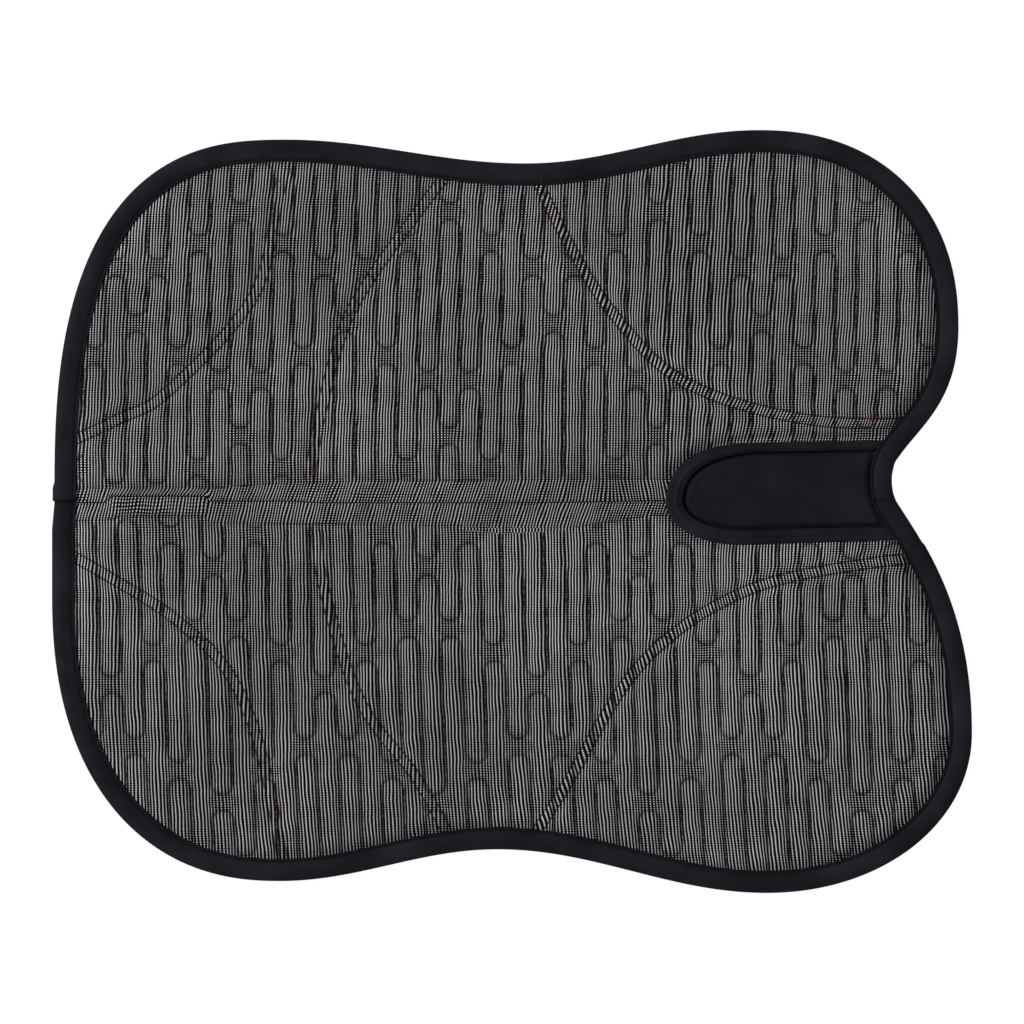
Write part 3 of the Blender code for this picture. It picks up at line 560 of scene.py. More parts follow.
class Half:
    """One half of the pad: its sizes, its lines, and the side of the spine that it lies on."""

    def __init__(self, sizes):
        self.__dict__.update(sizes)
        self.body = f"{self.name}_side"
        self.edge = self.outer_edge()
        self.throat = self.throat_edge()
        self.seams = [smooth_line([(REAR_X + x, v) for x, v in knots]) for knots in self.channels]
        self.edge_marks = even(self.edge, 2 * STATION)

    def world(self, x, v, z):
        """World points of plan points at height z."""
        return world(x, self.side * np.asarray(v), z)

    def outer_edge(self):
        """Finished edge, from the rear end of the spine round to the notch."""
        peak, waist, front, tip = self.rear_peak, self.waist, self.front_peak, self.front_tip
        notch, pull = self.notch, self.notch_pull
        corner = superellipse((peak[0], self.corner_start), (self.rear_x - peak[0], 0),
                              (0, peak[1] - self.corner_start), self.rear_fullness)
        nose = superellipse((front[0], tip[1]), (0, front[1] - tip[1]), (tip[0] - front[0], 0),
                            self.front_fullness)
        flank = bezier(tip, (tip[0], tip[1] - self.flank_pull),
                       (notch[0] + pull[0], notch[1] + pull[1]), notch)
        body = even(join([(self.rear_spine_x, 0.0), (self.rear_x, self.rear_turn)], corner,
                         ease(peak, waist), ease(waist, front), nose, flank), STATION)
        body = body[:-1 - int(self.notch_round / STATION)]
        way = (body[-1] - body[-2]) / STATION * self.notch_round * ARC_HANDLE
        ending = bezier(body[-1], body[-1] + way, self.notch_end, (NOTCH_X, 0.0))
        return join(body, even(ending, STATION))

    def throat_edge(self):
        """Finished edge of the opening over the withers, from its tip to past the notch."""
        bow = superellipse((THROAT_TIP_X + self.shoulder, 0.0), (-self.shoulder, 0),
                           (0, self.throat_half_width), self.throat_fullness)
        return even(join(bow, [(FRONT_X, self.mouth_half_width)]), STATION)

    def throat_line(self, outset):
        """Line outside the opening."""
        line = offset(self.throat, -outset)
        line[0] = (THROAT_TIP_X - outset, 0.0)
        return line

    def edge_line(self, inset):
        """Line inside the finished edge, ending at the spine gap."""
        return end_at(start_at(offset(self.edge, inset), SPINE_GAP), SPINE_GAP)

    def binding_line(self, inset):
        """Line inside the finished edge, ending at the spine, with as many points as the edge."""
        line = offset(self.edge, inset)
        line[0] = (line[0][0], 0.0)
        line[-EVENED:] = resample(end_at(line[-EVENED:], 0.0), EVENED)
        return line

    def ring(self, edge_inset, spine_inset, throat_outset):
        """Closed plan of a layer, with its own distance from each kind of edge."""
        edge = start_at(offset(self.edge, edge_inset), spine_inset)
        throat = start_at(self.throat_line(throat_outset), spine_inset)
        i, j, corner = crossing(edge[::-1], throat)
        return np.concatenate([edge[:len(edge) - 1 - i], [corner], throat[:j + 1][::-1]])

    def opening(self, x):
        """Half width of the opening over the withers."""
        return np.interp(x, self.throat[:, 0], self.throat[:, 1])

    def band_reach(self, x):
        """Distance from the spine of the topstitch line beside it."""
        return np.interp(x, *zip(*self.band))

    def off_band(self, x, v, before, after):
        """0 on the band beside the spine, 1 past it, smooth from before its line to after it."""
        reach = self.band_reach(x)
        return smooth_rise(v, reach - before, reach + after)

    def past_bindings(self, x, v):
        """How far points lie past the edge binding, and past the withers band."""
        return (nearest(self.edge_marks, x, v)[0] - EDGE_PRESSED,
                nearest(self.throat, x, v)[0] - THROAT_PRESSED)

    def past_pressed(self, x, v):
        """How far points lie past all that presses the layers together at their edges."""
        return np.minimum(np.minimum(*self.past_bindings(x, v)), v - SPINE_PRESSED)

    def laps(self, end):
        """Where the binding is joined by a lap at the rear, and laid over itself at the notch."""
        at_notch = [(end + start, end + stop, *size) for start, stop, *size in self.notch_laps]
        return [*self.rear_laps, *at_notch]

    def twin_lines(self):
        """The two stitched lines of each twin seam."""
        return [offset(seam, way * SEAM_SPACING / 2) for seam in self.seams for way in (-1, 1)]


HALVES = (Half(NEAR_SIZES), Half(OFF_SIZES))
NEAR = HALVES[0]


# Quilting

def bridge_centres(half, column):
    """Distances from the spine at which a column of quilting is cut by a bridge."""
    centres = []
    for row in range(math.ceil(ROWS_END / half.row_pitch) + 2):
        phase = column - len(BRIDGE_STEPS) * (row % 2)
        if phase % 2 == 0:
            step = BRIDGE_STEPS[(phase // 2) % len(BRIDGE_STEPS)]
            centres.append(half.row_start + row * half.row_pitch - step)
    return centres


def groove_runs(half, column):
    """Stretches of the stitch line between a column and the next, as distances from the spine."""
    turn = BRIDGE_LENGTH / 2 + half.pitch / 2
    cuts = sorted(bridge_centres(half, column) + bridge_centres(half, column + 1))
    starts = [GROOVES_START] + [centre + turn for centre in cuts]
    ends = [centre - turn for centre in cuts] + [GROOVES_END]
    return [(start, end) for start, end in zip(starts, ends) if end > start]


def quilt_distance(half, x, v):
    """Distance to the nearest quilting stitch, and to the middle of the column's nearest bridge.

    The first distance changes its sign at every stitch line.
    """
    turn = half.pitch / 2
    q = (x - half.finger_origin - half.finger_lean * v) / half.pitch
    column_of = np.rint(q).astype(int)
    best, pressed = np.full(x.shape, np.inf), np.full(x.shape, BRIDGE_FAR)
    bridged = np.zeros(x.shape, bool)
    for column in range(column_of.min() - 1, column_of.max() + 2):
        close = np.abs(q - column) < COLUMN_REACH
        across, along = (q[close] - column) * half.pitch, v[close]
        gap, bridge = best[close], pressed[close]
        between = np.zeros(across.shape, bool)
        for centre in bridge_centres(half, column):
            own = np.hypot(along - centre, np.maximum(np.abs(across) - BRIDGE_SHARE * turn, 0))
            bridge = np.minimum(bridge, own)
            for way in (-1, 1):
                rise = (along - centre) * way - BRIDGE_LENGTH / 2 - turn
                arc = np.abs(np.hypot(across, rise) - turn)
                ends = np.hypot(np.abs(across) - turn, rise)
                gap = np.minimum(gap, np.where(rise <= 0, arc, ends))
            past = np.abs(along - centre) - BRIDGE_LENGTH / 2
            between |= (past < 0) | ((past < turn) & (across ** 2 + (turn - past) ** 2 > turn ** 2))
        for start, end in groove_runs(half, column):
            beyond = np.maximum(np.maximum(start - along, along - end), 0)
            gap = np.minimum(gap, np.hypot(across - turn, beyond))
        best[close], pressed[close] = gap, bridge
        bridged[close] = np.where(column_of[close] == column, between, bridged[close])
    return best * np.where((column_of + bridged) % 2 == 0, 1.0, -1.0), pressed


def seam_distance(half, x, v):
    """Distance to the middle of the nearest twin seam, and how far it shears the cloth there."""
    best = np.full(x.shape, FAR)
    shear = np.zeros(x.shape)
    for seam, most in zip(half.seams, SEAM_SHEAR):
        gap, beside, _ = nearest(seam, x, v)
        slope = math.copysign(most, (seam[-1] - seam[0]).prod())
        shear = np.where(gap < best, np.clip(beside / (SEAM_SPACING / 2), -1, 1) * slope, shear)
        best = np.minimum(best, gap)
    return best, shear


def lining_shape(half, x, v):
    """Height of the lining, and what its cloth needs to know at each point."""
    edge, throat = half.past_bindings(x, v)
    quilt, bridge = quilt_distance(half, x, v)
    seam = seam_distance(half, x, v)[0]
    reach = half.band_reach(x)
    y = half.side * v

    # Swell between the pressed edges, and the lower band along the spine
    swell = puff(edge, EDGE_SWELL) * puff(throat, THROAT_SWELL)
    part = np.clip(v / reach, 0, 1)
    band = BAND_LOW + BAND_SWELL * (1 - (2 * part - 1) ** 2) ** BAND_FULLNESS
    beyond = BAND_LOW + (1 - BAND_LOW) * puff(v - reach, BAND_SWELL_RUN, BAND_SWELL_ROUNDNESS)
    rise = np.where(v < reach, band, beyond)

    # Fingers: full between the stitches, drawn down at each stitch line
    spring = half.relief * sum((uneven(x, y, *wave) for wave in FINGER_WAVES), 1.0)
    calm = FINGERS_ON_BAND + (1 - FINGERS_ON_BAND) * half.off_band(x, v, *FINGERS_OFF_BAND)
    calm = calm * (FINGERS_AT_SEAM + (1 - FINGERS_AT_SEAM) * smooth_rise(seam, *FINGERS_OFF_SEAM))
    away = np.abs(quilt)
    crown = (1 - np.clip(away / FINGER_RUN, 0, 1)) ** FINGER_ROUNDNESS * FINGER_CROWN
    pinch = (1 - np.clip(away / PINCH_RUN, 0, 1)) ** PINCH_ROUNDNESS * PINCH_DEPTH

    # Twin seams: two stitched grooves with a low rib between
    from_line = np.abs(seam - SEAM_SPACING / 2)
    rib = seam < SEAM_SPACING / 2
    drawn = (1 - puff(from_line, np.where(rib, SEAM_SPACING / 2, SEAM_GATHER))) * SEAM_DEPTH
    drawn += np.where(rib, SEAM_SINK, SEAM_SINK * (1 - smooth_rise(from_line, 0, SEAM_GATHER)))
    drawn *= half.off_band(x, v, *SEAM_OFF_BAND)
    gather = uneven(x * 1.4, y, *SEAM_WAVES) * (1 - smooth_rise(seam, *SEAM_WAVES_FADE))

    depth = spring * calm * (crown + pinch) + drawn + gather + tucks(half, x, v)
    full = LINING_TOP + uneven(x, y, *LOFT_WAVES) - LINING_EDGE_TOP
    z = LINING_EDGE_TOP + np.maximum(full * rise - depth, LEAST_LOFT) * swell
    marks = {"quilt": quilt, "bridge": bridge, "seam": seam, "crease": band_creases(half, x, v),
             "sewn": half.off_band(x, v, *SEWN_OFF_BAND)}
    return np.maximum(z, LINING_EDGE_TOP), marks


def tucks(half, x, v):
    """Small folds of the band beside the spine, as depths below its surface."""
    depth = np.zeros(x.shape)
    for place, low, high, width, deep in half.tucks:
        away = (x - place) / width
        fold = np.exp(-away ** 2) - TUCK_RISE * np.exp(-(away / TUCK_RISE_WIDTH) ** 2)
        depth += deep * window(v, low, high, TUCK_BORDER) * fold
    if half is NEAR:
        lap = window(x, LAP_START + LAP_SOFT, LAP_END - LAP_SOFT, LAP_SOFT)
        depth -= LAP_RISE * lap * (v < half.band_reach(x))
    return depth


def band_creases(half, x, v):
    """Distance from the creases beside the spine: the seam, the topstitch line and the lap's ends."""
    reach = half.band_reach(x)
    crease = np.minimum(v, np.abs(v - reach))
    if half is NEAR:
        for end in (LAP_START, LAP_END):
            crease = np.where(v < reach, np.minimum(crease, np.abs(x - end)), crease)
    for place, low, high, _, deep in half.tucks:
        if deep > DEEP_TUCK:
            beyond = np.maximum(np.maximum(low - v, v - high), 0)
            crease = np.minimum(crease, np.hypot(x - place, beyond) + CLEARANCE)
    return crease


def stripe_place(half, x, v):
    """Stripes and beads counted across the cloth, following how its weave leans."""
    base, outer, along, run = half.stripe_lean
    s = (x - REAR_X) / (FRONT_X - REAR_X)
    lean = math.radians(1) * (base * v + (outer + along * s) * v * v / (2 * run))
    reach = half.band_reach(x)
    slant, flare = [np.tan(np.radians(np.interp(x, *zip(*leans))))
                    for leans in (half.band_lean, half.side_lean)]
    start = np.where(x > THROAT_TIP_X, half.opening(x), reach)
    bend = slant * np.minimum(v - reach, 0)
    bend += flare * FLARE_RUN * (1 - np.exp(-np.maximum(v - start, 0) / FLARE_RUN))
    seam, shear = seam_distance(half, x, v)
    rib = shear * (1 - smooth_rise(seam, *SHEAR_FADE)) * half.off_band(x, v, *SHEAR_OFF_BAND)
    sway = sum(uneven(x, v, *wave) for wave in SWAY_WAVES)
    pull = FINGER_PULL * np.sin(2 * math.pi * (x - half.finger_origin) / half.pitch)
    return (x - lean - bend + rib + sway + pull) / STRIPE_PITCH, half.side * v / BEAD_PITCH


def lining_place(half, x, v, z):
    """World points on a lining: its seam runs a little to one side of the axis in places."""
    points = half.world(x, v, z)
    points[..., 1] += np.interp(x, *zip(*SEAM_DRIFT)) * (1 - smooth_rise(v, 0.0, DRIFT_RUN))
    return points


# Meshes

def new_piece(name, points, groups, flat=()):
    """A smooth closed piece from points and groups of faces that all turn the same way.

    The groups whose numbers are in flat keep hard edges.
    """
    points = np.asarray(points, dtype=float)
    groups = [np.asarray(group, dtype=np.int64) for group in groups]
    if volume(points, groups) < 0:
        groups = [group[:, ::-1] for group in groups]
    corners = np.concatenate([np.full(len(group), group.shape[1]) for group in groups])
    order = np.concatenate([group.ravel() for group in groups])
    smooth = [np.full(len(group), number not in flat) for number, group in enumerate(groups)]
    mesh = bpy.data.meshes.new(name)
    mesh.vertices.add(len(points))
    mesh.vertices.foreach_set("co", points.astype(np.float32).ravel())
    mesh.loops.add(len(order))
    mesh.loops.foreach_set("vertex_index", order.astype(np.int32))
    mesh.polygons.add(len(corners))
    mesh.polygons.foreach_set("loop_start", (np.cumsum(corners) - corners).astype(np.int32))
    mesh.update(calc_edges=True)
    mesh.polygons.foreach_set("use_smooth", np.concatenate(smooth))
    mesh.validate()
    piece = bpy.data.objects.new(name, mesh)
    bpy.context.scene.collection.objects.link(piece)
    return piece


def volume(points, groups):
    """Space that faces enclose, below zero where they turn inwards."""
    total = 0.0
    for group in groups:
        for k in range(1, group.shape[1] - 1):
            a, b, c = points[group[:, 0]], points[group[:, k]], points[group[:, k + 1]]
            total += (a * np.cross(b, c)).sum()
    return total


def set_number(piece, name, values):
    """A number at each corner point of a piece."""
    layer = piece.data.attributes.new(name, "FLOAT", "POINT")
    layer.data.foreach_set("value", np.asarray(values, dtype=np.float32))


def set_weave(piece, across, along):
    """The map that the weave follows."""
    corners = np.zeros(len(piece.data.loops), dtype=np.int32)
    piece.data.loops.foreach_get("vertex_index", corners)
    places = np.stack([across[corners], along[corners]], axis=1).astype(np.float32)
    layer = piece.data.uv_layers.new(name="weave")
    layer.data.foreach_set("uv", places.ravel())


def cut_grid(ring, xs, vs):
    """Grid squares inside a ring, with the outer points brought onto it: points, squares, rim."""
    kept = inside(ring, (xs[:-1, :-1] + xs[1:, 1:]) / 2, (vs[:-1, :-1] + vs[1:, 1:]) / 2)
    numbers = np.arange(xs.size).reshape(xs.shape)
    i, j = np.nonzero(kept)
    squares = np.stack([numbers[i, j], numbers[i + 1, j], numbers[i + 1, j + 1], numbers[i, j + 1]], axis=1)
    used, squares = np.unique(squares, return_inverse=True)
    squares = squares.reshape(-1, 4)
    x, v = xs.ravel()[used], vs.ravel()[used]
    edges = np.concatenate([squares[:, [k, (k + 1) % 4]] for k in range(4)])
    keys = set(map(tuple, edges.tolist()))
    after = {a: b for a, b in keys if (b, a) not in keys}
    rim = [min(after)]
    while after[rim[-1]] != rim[0]:
        rim.append(after[rim[-1]])
    rim = np.array(rim)
    closed = np.concatenate([ring, ring[:1]])
    x[rim], v[rim] = nearest(closed, x[rim], v[rim])[2]
    return x, v, squares, rim


def walls(rim, below):
    """Faces between a rim and the rim below it."""
    return np.stack([np.roll(rim, -1), rim, below, np.roll(below, -1)], axis=1)


def closed_sheet(name, top, bottom, squares, rim):
    """A piece between world points and as many points below them."""
    count = len(top)
    return new_piece(name, np.concatenate([top, bottom]),
                     [squares, squares[:, ::-1] + count, walls(rim, rim + count)], flat=(2,))


def plain_grid(step):
    """Square grid over a half."""
    return np.meshgrid(np.arange(REAR_X, FRONT_X + step, step),
                       SPINE_GAP + np.arange(0, PLAN_WIDTH, step), indexing="ij")


def sweep(name, tracks):
    """Closed solid through tracks of world points, one for each corner of its section."""
    tracks = np.asarray(tracks)
    count, length = tracks.shape[:2]
    numbers = np.arange(count * length).reshape(count, length)
    after = np.roll(numbers, -1, axis=0)
    sides = np.stack([numbers[:, :-1], numbers[:, 1:], after[:, 1:], after[:, :-1]], axis=-1)
    k = np.arange(count // 2 - 1)
    cap = np.stack([k, k + 1, count - 2 - k, count - 1 - k], axis=1)
    faces = [sides.reshape(-1, 4), numbers[cap, 0], numbers[cap, -1][:, ::-1]]
    return new_piece(name, tracks.reshape(-1, 3), faces, flat=(1, 2))


# What a piece stands for, its flat size, and how it moves

def dress(piece, cloth, slot, node=None):
    """Give a piece its cloth, and hide the solid that it replaces; slot is not used."""
    piece.data.materials.clear()
    piece.data.materials.append(cloth.material)
    if node:
        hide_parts(node)


def declare_cut(ring):
    """Measure how wide and long a cloth cut to a ring is; nothing uses the sizes."""
    width, length = np.ptp(ring, axis=0)[::-1]


def carry(piece, body="near_side"):
    """Attach a piece to its half's body, or leave it in place where it reaches the spine."""
    points = np.zeros(len(piece.data.vertices) * 3)
    piece.data.vertices.foreach_get("co", points)
    if np.abs(points[1::3] - SPINE_Y).min() < SPINE_BEND:
        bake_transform(piece)
    else:
        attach(piece, body)


# Stitches

def sew(name, runs, thread, slot, body, stitch, thickness=1.0, cover=STITCH_COVER, facing=1):
    """Thread stitches along runs of world points, as one piece; facing is -1 on a lower side."""
    width = sizes().thread_width * thickness
    centres, ways = [], []
    for line in runs:
        count = int(lengths(line)[-1] / stitch)
        if count:
            marks = even(line, lengths(line)[-1] / count)
            centres.append((marks[1:] + marks[:-1]) / 2)
            ways.append((marks[1:] - marks[:-1]) / 2 * cover)
    centres, ways = np.concatenate(centres), np.concatenate(ways)
    unit = ways / np.linalg.norm(ways, axis=1)[:, None]
    side = np.stack([unit[:, 1], -unit[:, 0], np.zeros(len(unit))], axis=1)
    side /= np.maximum(np.linalg.norm(side, axis=1), TINY)[:, None]
    up = np.cross(side, unit) * facing
    centres = centres + up * THREAD_RISE

    # Each stitch: a tip, two squares of corners and a tip
    corners = [centres - ways - up * width]
    for along in (-0.5, 0.5):
        for a, b in ((1, 0), (0, 1), (-1, 0), (0, -1)):
            corners.append(centres + ways * along + side * width * a / 2 + up * width * b / 2)
    corners.append(centres + ways - up * width)
    ring = np.arange(4)
    after = (ring + 1) % 4
    tips = np.concatenate([np.stack([0 * ring, 1 + after, 1 + ring], axis=1),
                           np.stack([9 + 0 * ring, 5 + ring, 5 + after], axis=1)])
    sides = np.stack([1 + ring, 1 + after, 5 + after, 5 + ring], axis=1)
    base = len(corners) * np.arange(len(centres))[:, None, None]
    faces = [(part[None] + base).reshape(-1, part.shape[1]) for part in (tips, sides)]
    piece = new_piece(name, np.stack(corners, axis=1).reshape(-1, 3), faces)
    dress(piece, thread, slot)
    carry(piece, body)


def marks_along(lines):
    """Evenly spaced points along plan lines, and the number of each point's line."""
    lines = [even(np.asarray(line, dtype=float), STITCH_STATION) for line in lines]
    owner = np.repeat(np.arange(len(lines)), [len(line) for line in lines])
    return *np.concatenate(lines).T, owner


def bare_runs(points, owner, bare):
    """World points cut into runs that belong to one line and are bare."""
    owner = np.where(bare, owner, -1)
    parts = np.split(np.arange(len(owner)), np.nonzero(np.diff(owner))[0] + 1)
    return [points[part] for part in parts if owner[part[0]] >= 0 and len(part) > 3]


def on_lining(half, lines, past_band=-FAR):
    """Runs of world points on the lining along plan lines, only where the lining is bare."""
    x, v, owner = marks_along(lines)
    edge, throat = half.past_bindings(x, v)
    bare = np.minimum(edge, throat) > STITCH_MARGIN
    bare &= inside(half.edge, x, v) & (v >= half.opening(x))
    bare &= (v > SPINE_MARGIN) & (v > half.band_reach(x) + past_band)
    return bare_runs(lining_place(half, x, v, lining_shape(half, x, v)[0]), owner, bare)


def quilting_runs(half):
    """Every stitch line of the quilting: grooves and the round ends of the fingers."""
    lines = []
    turn = half.pitch / 2

    def add_line(column, across, v):
        x = half.finger_origin + half.pitch * column + across + half.finger_lean * v
        lines.append(np.stack([x, v], axis=1))

    first = math.floor((REAR_X - half.finger_origin) / half.pitch) - 2
    last = math.ceil((FRONT_X - half.finger_origin) / half.pitch) + 1
    half_turn = np.linspace(0, math.pi, 19)
    for column in range(first, last):
        for run in groove_runs(half, column):
            add_line(column, turn, np.array(run))
        for centre in bridge_centres(half, column):
            for way in (-1, 1):
                v = centre + way * (BRIDGE_LENGTH / 2 + turn - turn * np.sin(half_turn))
                add_line(column, turn * np.cos(half_turn), v)
    return on_lining(half, lines, past_band=QUILTING_OFF_BAND)


# Materials

class Number:
    """A value in a material, for sums written as plain expressions."""

    def __init__(self, cloth, socket):
        self.cloth = cloth
        self.socket = socket

    def maths(self, operation, *values):
        """The outcome of a Math node."""
        return self.cloth.take("ShaderNodeMath", {"operation": operation}, dict(enumerate(values)))

    def __add__(self, other):
        return self.maths("ADD", self, other)

    def __sub__(self, other):
        return self.maths("SUBTRACT", self, other)

    def __rsub__(self, other):
        return self.maths("SUBTRACT", other, self)

    def __mul__(self, other):
        return self.maths("MULTIPLY", self, other)

    def __abs__(self):
        return self.maths("ABSOLUTE", self)

    __radd__ = __add__
    __rmul__ = __mul__

    def wave(self):
        """Smooth wave from 0 to 1, one for each whole number."""
        return self.maths("COSINE", self * (2 * math.pi)) * 0.5 + 0.5

    def rise(self, start, end, low=0.0, high=1.0):
        """Smooth change from low at start to high at end."""
        return self.cloth.take("ShaderNodeMapRange", {"interpolation_type": "SMOOTHSTEP"},
                               {0: self, 1: start, 2: end, 3: low, 4: high})


class Cloth:
    """A cloth or thread's material."""

    def __init__(self, name, roughness, specular, sheen=0.0):
        self.material = bpy.data.materials.new(name)
        self.material.use_nodes = True
        self.tree = self.material.node_tree
        self.shader = self.tree.nodes["Principled BSDF"]
        self.shader.inputs["Roughness"].default_value = roughness
        self.shader.inputs["Specular IOR Level"].default_value = specular
        self.shader.inputs["Sheen Weight"].default_value = sheen

    def node(self, kind, settings=None, inputs=None):
        """A node with its settings, and the values or links of its sockets."""
        made = self.tree.nodes.new(kind)
        for name, value in (settings or {}).items():
            setattr(made, name, value)
        for name, value in (inputs or {}).items():
            if isinstance(value, Number):
                value = value.socket
            if isinstance(value, bpy.types.NodeSocket):
                self.tree.links.new(value, made.inputs[name])
            else:
                made.inputs[name].default_value = value
        return made

    def take(self, kind, settings=None, inputs=None, output=0):
        """A new node's output, as a number."""
        return Number(self, self.node(kind, settings, inputs).outputs[output])

    def number(self, name):
        """A number that the mesh carries."""
        return self.take("ShaderNodeAttribute", {"attribute_name": name}, output="Fac")

    def weave(self):
        """Stripes and beads counted across the cloth."""
        uv = self.node("ShaderNodeUVMap", {"uv_map": "weave"}).outputs[0]
        split = self.node("ShaderNodeSeparateXYZ", inputs={0: uv})
        return Number(self, split.outputs[0]), Number(self, split.outputs[1])

    def noise(self, scale, detail=2.0):
        """Soft noise between 0 and 1, by place on the piece."""
        place = self.node("ShaderNodeTexCoord").outputs["Object"]
        return self.take("ShaderNodeTexNoise", inputs={"Vector": place, "Scale": scale, "Detail": detail})

    def colour(self, share, dark, light):
        """Colour the cloth between dark and light."""
        mix = self.node("ShaderNodeMix", {"data_type": "RGBA"},
                        {0: share, 6: (*dark, 1.0), 7: (*light, 1.0)})
        self.tree.links.new(mix.outputs[2], self.shader.inputs["Base Color"])

    def bump(self, height, distance, strength):
        """Raise the cloth's small forms."""
        bump = self.node("ShaderNodeBump",
                         inputs={"Height": height, "Distance": distance, "Strength": strength})
        self.tree.links.new(bump.outputs[0], self.shader.inputs["Normal"])


def lining_cloth():
    """Light grey yarn in beaded stripes on a black ground, with painted shade in the stitched grooves."""
    cloth = Cloth("lining_cloth", roughness=0.9, specular=0.03)
    across, along = cloth.weave()
    quilt, bridge, seam = abs(cloth.number("quilt")), cloth.number("bridge"), cloth.number("seam")
    crease, sewn = cloth.number("crease"), cloth.number("sewn")
    from_seam = abs(seam - SEAM_SPACING / 2)
    across = across + cloth.noise(60.0) * 0.3 + cloth.noise(220.0) * 0.15
    along = along + cloth.noise(90.0) * 0.9
    stripe, bead = across.wave(), along.wave()

    # How clearly the yarn is beaded: less on the fingers' crests, fully at the bridges
    crest = quilt.rise(0.0010, 0.0036) * from_seam.rise(0.001, 0.003) * sewn
    beaded = cloth.noise(70.0).rise(0.38, 0.62, 0.98, 0.50) - 0.15 * crest
    beaded = 1 - (1 - beaded) * (1 - sewn * bridge.rise(0.0036, 0.0058, 1.0, 0.0))
    yarn = stripe.rise(0.58, 0.98) * (1 - beaded * (1 - bead.rise(0.35, 0.95))) * (0.45 + 0.55 * beaded)

    # Tone: worn patches and single fibres of random tone; painted shade in the stitched grooves, along the
    # twin seams and in the creases, and painted light on the fingers' crests
    wear = cloth.noise(9.0, 4.0).rise(0.35, 0.7, 0.82, 1.12)
    # drawn sets how strong the painted shade in the quilting grooves is: varied by noise, and weaker near
    # the bridges
    drawn = cloth.noise(45.0).rise(0.35, 0.65, 0.80, 1.0) * cloth.noise(430.0).rise(0.40, 0.58, 0.65, 1.0)
    drawn = drawn * bridge.rise(0.0110, 0.0130, 0.72, 1.0)
    # Painted shade along the quilting stitch lines, and painted light on the fingers' crests away from them
    groove_shade = 1 - drawn * quilt.rise(0.0003, 0.0014, 0.96, 0.0)
    groove_shade = groove_shade * quilt.rise(0.0012, 0.0044, 0.90, 1.07)
    # Painted shade along the twin seams' stitch lines
    groove_shade = groove_shade * from_seam.rise(0.0001, 0.0008, 0.12, 1.0)
    # The painted shade is kept off the band beside the spine, and painted shade darkens the creases
    groove_shade = (1 - sewn * (1 - groove_shade)) * crease.rise(0.0001, 0.0008, 0.25, 1.0)
    fibre = cloth.noise(1500.0, 3.0).rise(0.3, 0.7, 0.86, 1.08)
    cloth.colour(yarn * wear * groove_shade * fibre, colour("ground"), colour("yarn"))
    cloth.bump(stripe * 0.6 + yarn * 0.5 + fibre * 0.3, 0.00028, 0.85)
    return cloth


def binding_cloth():
    """Close-woven matt black binding, with painted shade where the stitches press it down, out to its inner
    edge.
    """
    cloth = Cloth("binding_cloth", roughness=0.62, specular=0.06)
    across, along = cloth.weave()
    twill = (across * 0.5 + along * 0.5).wave() * 0.5 + (across * 0.5 - along * 0.5).wave() * 0.5
    worn = cloth.noise(30.0, 5.0).rise(0.3, 0.75)
    # Painted shade: the upper leg is darker from its stitched groove to its inner edge
    pressed = across.rise(15.5, 17.6, 1.0, 0.25)
    cloth.colour((worn * 0.7 + twill * 0.3) * pressed, colour("binding"), colour("binding_light"))
    cloth.bump(twill * 0.5 + cloth.noise(260.0, 3.0), 0.00018, 0.6)
    return cloth


def insert_cloth():
    """Stretch cloth with a fine diagonal twill."""
    cloth = Cloth("insert_cloth", roughness=0.8, specular=0.05)
    across, along = cloth.weave()
    twill = (across + along * 0.55).wave()
    worn = cloth.noise(40.0, 4.0).rise(0.3, 0.7)
    cloth.colour(twill * 0.5 + worn * 0.4, colour("insert"), colour("insert_light"))
    cloth.bump(twill + cloth.noise(300.0) * 0.6, 0.00015, 0.6)
    return cloth


def cover_cloth():
    """Outer cloth: close plain weave, matt black."""
    cloth = Cloth("cover_cloth", roughness=0.88, specular=0.08)
    across, along = cloth.weave()
    plain = across.wave() * 0.5 + along.wave() * 0.5
    from_seam = abs(abs(cloth.number("seam")) - SEAM_SPACING / 2)
    worn = cloth.noise(14.0, 5.0).rise(0.35, 0.7)
    cloth.colour(worn * 0.5 + plain * 0.35, colour("cover"), colour("cover_light"))
    cloth.bump(plain * 0.3 + from_seam.rise(0.0, 0.002) * 1.5 + cloth.noise(220.0) * 0.4, 0.0003, 0.6)
    return cloth


def tape_cloth():
    """Ribbed tape."""
    cloth = Cloth("tape_cloth", roughness=0.7, specular=0.1)
    across, along = cloth.weave()
    rib = (along + across * 0.5).wave()
    cloth.colour(rib * 0.6, colour("binding"), colour("binding_light"))
    cloth.bump(rib, 0.0002, 0.7)
    return cloth


def felt(name, dark, light):
    """Needled fibre or thin plain cloth."""
    cloth = Cloth(name, roughness=0.97, specular=0.1, sheen=0.15)
    fibre = cloth.noise(420.0, 6.0)
    cloth.colour(fibre, dark, light)
    cloth.bump(fibre, 0.0004, 0.6)
    return cloth


def twisted_thread(name, dark, light):
    """Sewing thread."""
    cloth = Cloth(name, roughness=0.7, specular=0.1)
    twist = cloth.noise(1400.0)
    cloth.colour(twist, dark, light)
    cloth.bump(twist, 0.0001, 0.5)
    return cloth


# What a user would change

def colour_choice(name, value, description):
    """A colour to choose."""
    return bpy.props.FloatVectorProperty(name=name, description=description, default=value, size=3,
                                         min=0.0, max=1.0, subtype="COLOR")


def length_choice(name, value, least, most, description):
    """A length to choose."""
    return bpy.props.FloatProperty(name=name, description=description, default=value, min=least,
                                   max=most, unit="LENGTH")


